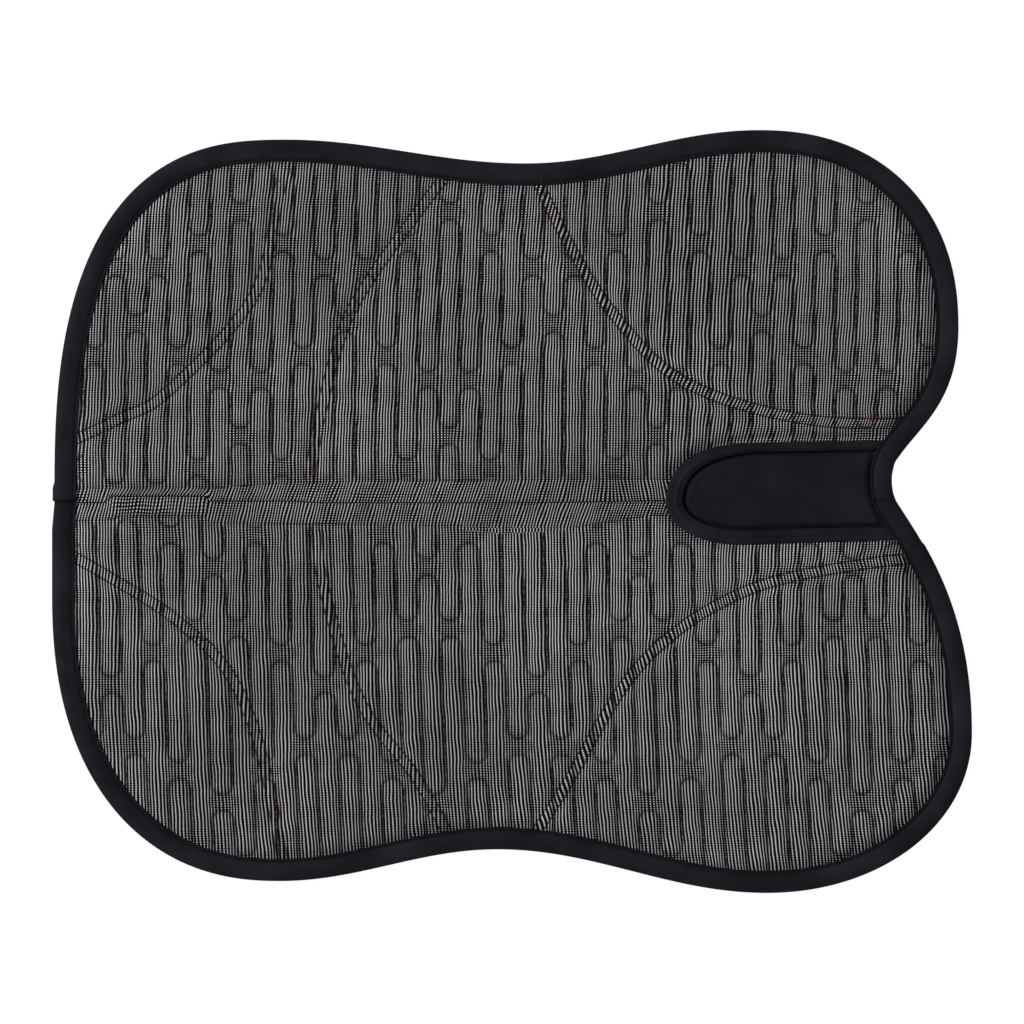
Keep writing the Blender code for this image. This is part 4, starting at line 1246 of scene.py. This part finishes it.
class HalfPadColours(bpy.types.PropertyGroup):
    """Colours of the cloths and threads"""
    ground: colour_choice("Lining ground", (0.0035, 0.0035, 0.0042), "Black ground of the lining")
    yarn: colour_choice("Lining yarn", (0.88, 0.88, 0.885), "Light yarn of the lining's stripes")
    binding: colour_choice("Binding", (0.0046, 0.0046, 0.0072), "Binding cloth")
    binding_light: colour_choice("Binding, worn", (0.0150, 0.0145, 0.0205), "Rubbed binding cloth")
    insert: colour_choice("Insert", (0.0052, 0.0048, 0.0080), "Stretch cloth over the withers")
    insert_light: colour_choice("Insert, raised", (0.0150, 0.0138, 0.0205), "Ribs of the stretch cloth")
    cover: colour_choice("Outer cloth", (0.0070, 0.0075, 0.0090), "Outer cloth")
    cover_light: colour_choice("Outer cloth, worn", (0.0150, 0.0158, 0.0190), "Rubbed outer cloth")
    red: colour_choice("Red thread", (0.38, 0.018, 0.035), "Thread of the outer side")


class HalfPadSizes(bpy.types.PropertyGroup):
    """Sizes of the sewing"""
    stitch: length_choice("Stitch", 0.0023, 0.001, 0.006, "Length of a quilting stitch")
    topstitch: length_choice("Topstitch", 0.0030, 0.001, 0.006, "Length of a binding stitch")
    thread_width: length_choice("Thread", 0.0003, 0.0002, 0.001, "Thickness of the thread")
    fill: bpy.props.FloatProperty(name="Filling", description="How tight the halves are filled",
                                  default=0.35, min=0.0, max=1.0, subtype="FACTOR")


def colour(name):
    """A chosen colour."""
    return tuple(getattr(bpy.context.scene.half_pad_colours, name))


def sizes():
    """The chosen sizes."""
    return bpy.context.scene.half_pad_sizes


# Outer cloth and filling

def under_press(half, x, v):
    """How far the twin seams draw the outer cloth up."""
    seam = seam_distance(half, x, v)[0]
    edge = half.past_bindings(x, v)[0]
    inner = smooth_rise(edge, *COVER_DRAW_OFF_EDGE)
    inner *= smooth_rise(v, CORE_START, CORE_START + COVER_DRAW_OFF_SPINE)
    from_line = np.abs(seam - SEAM_SPACING / 2)
    return COVER_DRAW * (1 - puff(from_line, COVER_DRAW_RUN, COVER_DRAW_ROUNDNESS)) * inner


def cover_heights(half, x, v):
    """Lower and upper side of the outer cloth."""
    raised = 1 - np.clip((half.past_pressed(x, v) - CLEARANCE) / COVER_SLOPE, 0, 1)
    bottom = COVER_EDGE_BOTTOM * raised + under_press(half, x, v)
    return bottom, bottom + COVER_THICKNESS


def wadding_heights(half, x, v):
    """Lower and upper side of the wadding."""
    return WADDING_BOTTOM + under_press(half, x, v), WADDING_BOTTOM + WADDING_THICKNESS


def backing_heights(_half, _x, _v):
    """Lower and upper side of the quilt backing."""
    return BACKING_BOTTOM, BACKING_BOTTOM + BACKING_THICKNESS


class HALFPAD_OT_covers(bpy.types.Operator):
    """Make the outer cloth, the wadding and the quilt backing of each half"""
    bl_idname = "halfpad.covers"
    bl_label = "Outer cloths and filling"

    def execute(self, _context):
        outer = cover_cloth()
        white = felt("wadding_felt", *WADDING_WHITE)
        thin = felt("backing_cloth", *BACKING_GREY)
        grid = plain_grid(COVER_STEP)
        for half in HALVES:
            whole = half.ring(CUT_INSET, SPINE_GAP, CUT_INSET)
            core = half.ring(EDGE_PRESSED + CORE_INSET, CORE_START, THROAT_PRESSED + CORE_INSET)
            for name, cloth, slot, node, ring, heights in (
                    ("outer_cloth", outer, "cover", "cover", whole, cover_heights),
                    ("filling", white, "wadding", "wadding", core, wadding_heights),
                    ("backing_cloth", thin, "backing", "quilt_backing", core, backing_heights)):
                x, v, squares, rim = cut_grid(ring, *grid)
                bottom, top = [half.world(x, v, height) for height in heights(half, x, v)]
                piece = closed_sheet(f"{half.name}_{name}", top, bottom, squares, rim)
                if slot == "cover":
                    set_number(piece, "seam", np.tile(seam_distance(half, x, v)[0], 2))
                    set_weave(piece, np.tile(x, 2) / CLOTH_PITCH, np.tile(v, 2) / CLOTH_PITCH)
                dress(piece, cloth, slot, f"{half.name}_{node}")
                if slot == "wadding":
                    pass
                else:
                    declare_cut(ring)
                carry(piece, half.body)
        return {"FINISHED"}


class HALFPAD_OT_linings(bpy.types.Operator):
    """Make the quilted lining of each half"""
    bl_idname = "halfpad.linings"
    bl_label = "Linings"

    def execute(self, _context):
        cloth = lining_cloth()
        for half in HALVES:
            low = math.floor((REAR_X - half.finger_origin - LEAN_ROOM) / half.pitch) - 1
            high = math.ceil((FRONT_X - half.finger_origin) / half.pitch) + 1
            q = (np.arange(low, high)[:, None] + 0.5 + np.array(FINGER_STEPS)).ravel()
            qs, vs = np.meshgrid(q, np.arange(0, LINING_WIDTH, LINING_STEP), indexing="ij")
            xs = half.finger_origin + half.pitch * qs + half.finger_lean * vs
            ring = half.ring(CUT_INSET, 0.0, CUT_INSET)
            x, v, squares, rim = cut_grid(ring, xs, vs)
            z, marks = lining_shape(half, x, v)
            count = len(x)
            under, under_faces, under_rim = self.underside(half, x[rim], v[rim])
            points = np.concatenate([lining_place(half, x, v, z), lining_place(half, *under)])
            faces = [squares, np.array(under_faces) + count, walls(rim, np.array(under_rim) + count)]
            piece = new_piece(f"{half.name}_quilted_lining", points, faces, flat=(2,))
            rest = np.full(len(points) - count, FAR)
            for name, values in marks.items():
                set_number(piece, name, np.concatenate([values, rest]))
            set_weave(piece, *stripe_place(half, np.concatenate([x, under[0]]),
                                           np.concatenate([v, under[1]])))
            dress(piece, cloth, "lining", f"{half.name}_lining")
            carry(piece, half.body)
        return {"FINISHED"}

    def underside(self, half, rim_x, rim_v):
        """Lower surface of the lining, under its rim, in large triangles."""
        xs, vs = plain_grid(UNDERSIDE_STEP)
        free = inside(half.ring(EDGE_PRESSED, SPINE_PRESSED, THROAT_PRESSED), xs, vs)
        free &= half.past_bindings(xs, vs)[0] > STITCH_MARGIN
        inner = [half.ring(EDGE_PRESSED + reach, SPINE_PRESSED + reach, THROAT_PRESSED + reach)
                 for reach in (CLEARANCE, CLEARANCE + LINING_SLOPE)]
        points = np.concatenate([np.stack([rim_x, rim_v], axis=1), *inner,
                                 np.stack([xs[free], vs[free]], axis=1)])
        count = base = len(rim_x)
        edges = []
        for line in inner:
            edges += [(base + k, base + (k + 1) % len(line)) for k in range(len(line))]
            base += len(line)
        flat = [Vector(point) for point in points * MM]
        rings = [list(range(count))]
        places, _, faces, sources = delaunay_2d_cdt(flat, edges, rings, 1, SAME_PLACE)[:4]
        rim = {item: index for index, source in enumerate(sources) for item in source if item < count}
        x, v = (np.array(places) / MM).T
        part = np.clip((half.past_pressed(x, v) - CLEARANCE) / LINING_SLOPE, 0, 1)
        z = LINING_EDGE_BOTTOM + (LINING_BOTTOM - LINING_EDGE_BOTTOM) * part
        return (x, v, z), [face[::-1] for face in faces], [rim[item] for item in range(count)]


# Bindings

def folded_section(width, crown, grooves):
    """Section of a folded binding: distance in from its fold, and height, outer side then inner."""
    bulge = (LEG_TOP - LEG_BOTTOM) / 2
    outer = [(width * part, LEG_BOTTOM) for part in LOWER_LEG_PARTS]
    for turn in np.linspace(-math.pi / 2, math.pi / 2, FOLD_POINTS):
        outer.append((bulge - bulge * math.cos(turn), LEG_MIDDLE + bulge * math.sin(turn)))
    parts = {part + step * wide / width for part, _, wide in grooves for step in GROOVE_STEPS}
    parts.update(UPPER_LEG_PARTS)
    for part in sorted(part for part in parts if UPPER_LEG_START < part <= 1.0):
        height = LEG_TOP + crown * math.sin(math.pi * min(part / CROWN_END, 1.0))
        for place, deep, wide in grooves:
            height -= deep * math.exp(-((part - place) * width / wide) ** 2)
        outer.append((width * part, height))
    inner = []
    for inset, height in outer:
        if inset < bulge + TINY:
            lean = math.hypot(bulge - inset, height - LEG_MIDDLE)
            share = max(lean - LEG_THICKNESS, FOLD_LEAST) / lean
            inner.append((bulge - (bulge - inset) * share, LEG_MIDDLE + (height - LEG_MIDDLE) * share))
        else:
            inner.append((inset, height - math.copysign(LEG_THICKNESS, height - LEG_MIDDLE)))
    return outer + inner[::-1]


def binding(name, line_at, place, width, crown, grooves, run, laps=(), puckers=None):
    """Folded binding along a line; line_at gives the line at each distance from its fold.

    Laps are stretches with a second layer: start, end, rise and how far the fold stands out.
    Puckers are small gathers across the binding: their middle and their reach along it.
    """
    section = folded_section(width, crown, grooves)
    raised, out, gather = np.zeros(len(run)), np.zeros(len(run)), np.zeros(len(run))
    for start, end, rise, stand in laps:
        lap = window(run, start, end, LAP_BORDER)
        raised += rise * lap
        out += stand * lap
    if puckers:
        middle, reach = puckers
        gather = GATHER_HEIGHT * np.sin(run / GATHER_PITCH * 2 * math.pi)
        gather *= np.exp(-((run - middle) / reach) ** 2)
    tracks = []
    for inset, height in section:
        stand = out * max(1 - inset / (LAP_REACH * width), 0)
        line = line_at(inset - stand if laps else inset)
        wrinkle = uneven(run, 1.7 * run + inset, *FINE_WRINKLE, turn=inset * 400)
        wrinkle = wrinkle + uneven(run, run * 0.3, *BROAD_WRINKLE, turn=inset * 90) + gather
        if height > WRINKLED_FROM:
            height = height + wrinkle * min(inset / (WRINKLE_REACH * width), 1.0) + raised
        elif height > LEG_MIDDLE:
            height = height + raised * 0.5
        tracks.append(place(line, height))
    piece = sweep(name, tracks)
    across = np.array([inset if height > LEG_MIDDLE else -inset for inset, height in section])
    set_weave(piece, np.repeat(across, len(run)) / BINDING_PITCH, np.tile(run, len(across)) / BINDING_PITCH)
    return piece


class HALFPAD_OT_edge_bindings(bpy.types.Operator):
    """Fold a binding round the outer edge of each half"""
    bl_idname = "halfpad.edge_bindings"
    bl_label = "Edge bindings"

    def execute(self, _context):
        cloth = binding_cloth()
        black = twisted_thread("binding_thread", *BLACK_THREAD)
        for half in HALVES:
            run = lengths(half.edge)
            piece = binding(f"{half.name}_edge_bind", half.binding_line,
                            lambda line, z: half.world(*line.T, z), EDGE_BINDING_WIDTH, EDGE_CROWN,
                            EDGE_GROOVES, run, half.laps(run[-1]))
            dress(piece, cloth, "binding", f"{half.name}_edge_binding")
            carry(piece, half.body)
            line = half.binding_line(EDGE_BINDING_WIDTH * EDGE_GROOVES[0][0])
            sew(f"{half.name}_binding_stitches", [half.world(*line.T, LEG_TOP - THREAD_SINK)], black,
                "binding", half.body, sizes().topstitch)
        return {"FINISHED"}


class HALFPAD_OT_withers(bpy.types.Operator):
    """Make the stretch insert over the withers and the band round its opening"""
    bl_idname = "halfpad.withers"
    bl_label = "Withers"

    def execute(self, _context):
        self.band()
        self.insert()
        return {"FINISHED"}

    def band(self):
        """The band, from under one edge binding round the opening to under the other."""
        arms = []
        for half in HALVES:
            stop = half.edge_line(EDGE_BINDING_WIDTH - BAND_TUCK)
            count = crossing(half.throat_line(0.0), stop)[0]
            run = lengths(half.throat)
            width = np.interp(run, (*BAND_WIDTH_MARKS, run[count]), half.band_width)
            arms.append((half, stop, count, width))

        def line_at(outset):
            lines = []
            for half, stop, count, width in arms:
                base = half.throat_line(0.0)
                reach = half.throat_line(outset) - base
                past, _, end = crossing((base + reach * width[-1])[count - 3:], stop)
                line = (base + reach * width[:, None])[:min(count - 2 + past, count + 1)]
                lines.append(resample(np.concatenate([line, [end]]), count + 1) * (1, half.side))
            near, off = lines
            return np.concatenate([near[::-1], off[1:]])

        fold = line_at(0.0)
        run = lengths(fold)
        ends = np.minimum(run, lengths(fold[::-1])[::-1])
        sunk = 1 - BAND_SINK * (1 - smooth_rise(ends, 0.0, BAND_SINK_RUN))

        def place(line, z):
            return world(*line.T, LEG_BOTTOM + (z - LEG_BOTTOM) * sunk)

        middle = float(run[arms[0][2]])
        piece = binding("withers_band", line_at, place, WITHERS_BINDING_WIDTH, BAND_CROWN, BAND_GROOVES,
                        run, puckers=(middle, BAND_GATHER))
        dress(piece, binding_cloth(), "binding", "withers_binding")
        carry(piece)
        line = line_at(WITHERS_BINDING_WIDTH * BAND_GROOVES[0][0])
        sew("withers_band_stitches", [place(line, LEG_TOP + BAND_THREAD_RISE)[1:-1]],
            twisted_thread("withers_thread", *BLACK_THREAD), "binding", "near_side", sizes().topstitch)

    def insert(self):
        """The stretch cloth, with its lap under the band and its folds in the opening."""
        ring = []
        for half in HALVES:
            stop = half.edge_line(EDGE_PRESSED + INSERT_TUCK)
            lift = half.edge_line(EDGE_PRESSED)
            cut = half.edge_line(CUT_INSET)
            lap = half.throat_line(INSERT_LAP)
            arm = half.throat_line(INSERT_ARM)
            lap_end, _, lap_corner = crossing(lap, stop)
            inner = [crossing(arm, line)[2] for line in (stop, lift)]
            _, front, corner = crossing(arm, cut)
            whole = np.concatenate([lap[:lap_end + 1], [lap_corner], inner, [corner], cut[front + 1:]])
            whole = whole * (1, half.side)
            ring.append(whole if half is NEAR else whole[::-1][1:-1])
        ring = np.concatenate(ring)
        xs, ys = np.meshgrid(np.arange(*INSERT_X, INSERT_STEP), np.arange(*INSERT_Y, INSERT_STEP),
                             indexing="ij")
        x, y, squares, rim = cut_grid(ring, xs, ys)
        away, within = np.ones(x.shape), np.zeros(x.shape)
        for half in HALVES:
            mine = half.side * y >= 0
            away = np.minimum(away, np.where(mine, nearest(half.edge_marks, x, np.abs(y))[0], 1.0))
            depth = nearest(half.throat, x, np.abs(y))[0]
            within = np.where(mine & (np.abs(y) < half.opening(x)), depth, within)
        pressed = 1 - np.clip((away - EDGE_PRESSED) / INSERT_TUCK, 0, 1)
        edge = INSERT_BOTTOM + (COVER_EDGE_BOTTOM - INSERT_BOTTOM) * pressed

        # Puckers round the tip, soft waves and one long crease
        px = x - THROAT_TIP_X - PUCKER_CENTRE
        pucker = np.sin(np.arctan2(y, px) * PUCKER_COUNT) * np.exp(-np.hypot(px, y) / PUCKER_RUN)
        pucker *= smooth_rise(within, *PUCKER_INLET)
        pucker += uneven(x, y, *INSERT_WAVES) * smooth_rise(within, *WAVE_INLET)
        crease = nearest(np.array(INSERT_CREASE), x, y)[0]
        pucker += np.exp(-(crease / CREASE_WIDTH) ** 2) * smooth_rise(within, *CREASE_INLET)
        loft = INSERT_PUCKER * pucker + INSERT_LOFT * smooth_rise(within, *LOFT_INLET)
        z = edge + np.maximum(loft, 0.0) * smooth_rise(away, EDGE_PRESSED, EDGE_PRESSED + LOFT_OFF_EDGE)
        piece = closed_sheet("withers_stretch_insert", world(x, y, z + INSERT_THICKNESS), world(x, y, z),
                             squares, rim)
        set_weave(piece, np.tile(x, 2) / CLOTH_PITCH, np.tile(y, 2) / CLOTH_PITCH)
        dress(piece, insert_cloth(), "insert", "withers_insert")
        declare_cut(ring)
        carry(piece)


class HALFPAD_OT_spine_tape(bpy.types.Operator):
    """Lay the tape over the spine seam on the outer side"""
    bl_idname = "halfpad.spine_tape"
    bl_label = "Spine tape"

    def execute(self, _context):
        rear = max(half.rear_x for half in HALVES) + EDGE_BINDING_WIDTH + CLEARANCE
        front = THROAT_TIP_X - WITHERS_BINDING_WIDTH - CLEARANCE
        x = np.append(np.arange(rear, front, STATION), front)
        across = np.linspace(-SPINE_TAPE_HALF_WIDTH, SPINE_TAPE_HALF_WIDTH, TAPE_POINTS)
        section = [(y, LEG_BOTTOM) for y in across]
        section += [(y, LEG_BOTTOM + LEG_THICKNESS) for y in across[::-1]]
        piece = sweep("spine_seam_tape", [world(x, y, z) for y, z in section])
        set_weave(piece, np.repeat([y for y, _ in section], len(x)) / CLOTH_PITCH,
                  np.tile(x, len(section)) / CLOTH_PITCH)
        dress(piece, tape_cloth(), "tape", "spine_tape")
        carry(piece)
        beside = SPINE_TAPE_HALF_WIDTH - TAPE_STITCH_INSET
        runs = [world(x, way * beside, LEG_BOTTOM) for way in (-1, 1)]
        sew("spine_tape_stitches", runs, twisted_thread("tape_thread", *BLACK_THREAD), "tape",
            "near_side", sizes().topstitch, facing=-1)
        return {"FINISHED"}


class HALFPAD_OT_stitching(bpy.types.Operator):
    """Sew the quilting, the twin seams and the lines beside the spine, and leave the red ends"""
    bl_idname = "halfpad.stitching"
    bl_label = "Stitching"

    def execute(self, _context):
        black = twisted_thread("quilting_thread", *QUILTING_THREAD)
        shade = [RED_SHADE * part for part in colour("red")]
        red = twisted_thread("outer_side_thread", shade, colour("red"))
        for half in HALVES:
            x = np.arange(half.rear_x + EDGE_PRESSED, THROAT_TIP_X - TIP_MARGIN, STATION)
            seams = on_lining(half, half.twin_lines(), past_band=SEAM_STITCH_OFF_BAND)
            seams += on_lining(half, [np.stack([x, half.band_reach(x)], axis=1)])
            sew(f"{half.name}_quilting_stitches", quilting_runs(half), black, "lining", half.body,
                sizes().stitch)
            sew(f"{half.name}_seam_stitches", seams, black, "lining", half.body, SEAM_STITCH,
                thickness=SEAM_THREAD)
            sew(f"{half.name}_red_thread_ends", self.thread_ends(half), red, "lining", half.body,
                END_STITCH, thickness=END_THREAD, cover=END_COVER)
            sew(f"{half.name}_outer_seam_stitches", self.outer_seams(half), red, "cover", half.body,
                SEAM_STITCH, thickness=SEAM_THREAD, facing=-1)
        return {"FINISHED"}

    def outer_seams(self, half):
        """The twin seams as they show on the outer cloth, in the bobbin's red thread."""
        cloth = bpy.data.objects[f"{half.name}_outer_cloth"].data
        tree = BVHTree.FromPolygons([vertex.co for vertex in cloth.vertices],
                                    [tuple(face.vertices) for face in cloth.polygons])
        x, v, owner = marks_along(half.twin_lines())
        bare = (half.past_bindings(x, v)[0] > STITCH_MARGIN) & inside(half.edge, x, v)
        bare &= v > SPINE_TAPE_HALF_WIDTH + STITCH_MARGIN
        points = half.world(x, v, cover_heights(half, x, v)[0])
        for point in points:
            met = tree.ray_cast(Vector((point[0], point[1], RAY_START)), Vector((0, 0, 1)))[0]
            point[2] = met.z if met else point[2]
        return bare_runs(points, owner, bare)

    def thread_ends(self, half):
        """Short ends of the outer side's red thread, pulled through where the seams begin and end."""
        runs = []
        t = np.linspace(0, 1, END_POINTS)
        first, turn = END_TURNS
        curl, change = END_CURL
        for number, (x, v) in enumerate(half.red_ends):
            way = first + turn * number + curl * math.sin(change * number) * t
            reach = END_LENGTHS[number % len(END_LENGTHS)] * t
            px, pv = x + reach * np.cos(way), v + reach * np.sin(way)
            z = lining_shape(half, px, pv)[0] + END_RISE + END_LOOP * np.sin(math.pi * t)
            runs.append(lining_place(half, px, pv, z))
        return runs


class HALFPAD_OT_stage(bpy.types.Operator):
    """Lay out the pale floor, the studio light and the camera"""
    bl_idname = "halfpad.stage"
    bl_label = "Stage"

    def execute(self, _context):
        bpy.context.scene.view_settings.view_transform = "Standard"
        self.floor()
        self.room()
        self.lamp("key_light", azimuth=165.0, elevation=38.0, strength=2.5, angle=14.0)
        camera = bpy.data.objects.new("camera", bpy.data.cameras.new("camera"))
        camera.data.type = "ORTHO"
        camera.data.ortho_scale = CAMERA_SPAN
        camera.location = CAMERA_PLACE
        bpy.context.scene.collection.objects.link(camera)
        bpy.context.scene.camera = camera
        return {"FINISHED"}

    def floor(self):
        """A floor that takes shadows and looks almost white."""
        bpy.ops.object.select_all(action="DESELECT")
        bpy.ops.mesh.primitive_plane_add(size=FLOOR_SIZE, location=(0.0, 0.0, FLOOR_HEIGHT))
        floor = bpy.context.active_object
        floor.name = "floor"
        cloth = Cloth("studio_floor", roughness=1.0, specular=0.0)
        cloth.shader.inputs["Base Color"].default_value = (FLOOR_WHITE, FLOOR_WHITE, FLOOR_WHITE, 1.0)
        seen = cloth.take("ShaderNodeLightPath", output="Is Camera Ray") * FLOOR_SEEN_GLOW
        glow = cloth.node("ShaderNodeEmission", inputs={"Strength": GLOW_STRENGTH})
        both = cloth.node("ShaderNodeMixShader", inputs={0: seen, 1: cloth.shader.outputs[0],
                                                         2: glow.outputs[0]})
        cloth.tree.links.new(both.outputs[0], cloth.tree.nodes["Material Output"].inputs["Surface"])
        floor.data.materials.append(cloth.material)

    def room(self):
        """Even light from all sides, on a white that only the camera sees."""
        world_data = bpy.data.worlds.new("studio")
        world_data.use_nodes = True
        bpy.context.scene.world = world_data
        nodes, links = world_data.node_tree.nodes, world_data.node_tree.links
        soft, white = nodes["Background"], nodes.new("ShaderNodeBackground")
        path, choose = nodes.new("ShaderNodeLightPath"), nodes.new("ShaderNodeMixShader")
        for background, strength in ((soft, ROOM_STRENGTH), (white, 1.0)):
            background.inputs["Color"].default_value = (1.0, 1.0, 1.0, 1.0)
            background.inputs["Strength"].default_value = strength
        links.new(path.outputs["Is Camera Ray"], choose.inputs[0])
        links.new(soft.outputs[0], choose.inputs[1])
        links.new(white.outputs[0], choose.inputs[2])
        links.new(choose.outputs[0], nodes["World Output"].inputs["Surface"])

    def lamp(self, name, azimuth, elevation, strength, angle):
        """A soft far lamp; azimuth is the side it shines from, counted from +X towards +Y."""
        lamp = bpy.data.objects.new(name, bpy.data.lights.new(name, "SUN"))
        lamp.data.energy = strength
        lamp.data.angle = math.radians(angle)
        a, e = math.radians(azimuth), math.radians(elevation)
        way = Vector((math.cos(a) * math.cos(e), math.sin(a) * math.cos(e), math.sin(e)))
        lamp.rotation_euler = way.to_track_quat("Z", "Y").to_euler()
        lamp.location = way
        bpy.context.scene.collection.objects.link(lamp)


class HALFPAD_PT_panel(bpy.types.Panel):
    """Half pad"""
    bl_label = "Half pad"
    bl_idname = "HALFPAD_PT_panel"
    bl_space_type = "VIEW_3D"
    bl_region_type = "UI"
    bl_category = "Half pad"

    def draw(self, context):
        for chosen in (context.scene.half_pad_sizes, context.scene.half_pad_colours):
            for name in type(chosen).__annotations__:
                self.layout.prop(chosen, name)
        for operator in OPERATORS:
            self.layout.operator(operator.bl_idname)


OPERATORS = (HALFPAD_OT_covers, HALFPAD_OT_linings, HALFPAD_OT_edge_bindings, HALFPAD_OT_withers,
             HALFPAD_OT_spine_tape, HALFPAD_OT_stitching, HALFPAD_OT_stage)
CLASSES = (HalfPadColours, HalfPadSizes) + OPERATORS + (HALFPAD_PT_panel,)


def register():
    for item in CLASSES:
        bpy.utils.register_class(item)
    bpy.types.Scene.half_pad_colours = bpy.props.PointerProperty(type=HalfPadColours)
    bpy.types.Scene.half_pad_sizes = bpy.props.PointerProperty(type=HalfPadSizes)


def unregister():
    del bpy.types.Scene.half_pad_sizes
    del bpy.types.Scene.half_pad_colours
    for item in reversed(CLASSES):
        bpy.utils.unregister_class(item)


def main():
    register()
    bpy.ops.halfpad.covers()
    bpy.ops.halfpad.linings()
    bpy.ops.halfpad.edge_bindings()
    bpy.ops.halfpad.withers()
    bpy.ops.halfpad.spine_tape()
    bpy.ops.halfpad.stitching()
    bpy.ops.halfpad.stage()


if __name__ == "__main__":
    main()
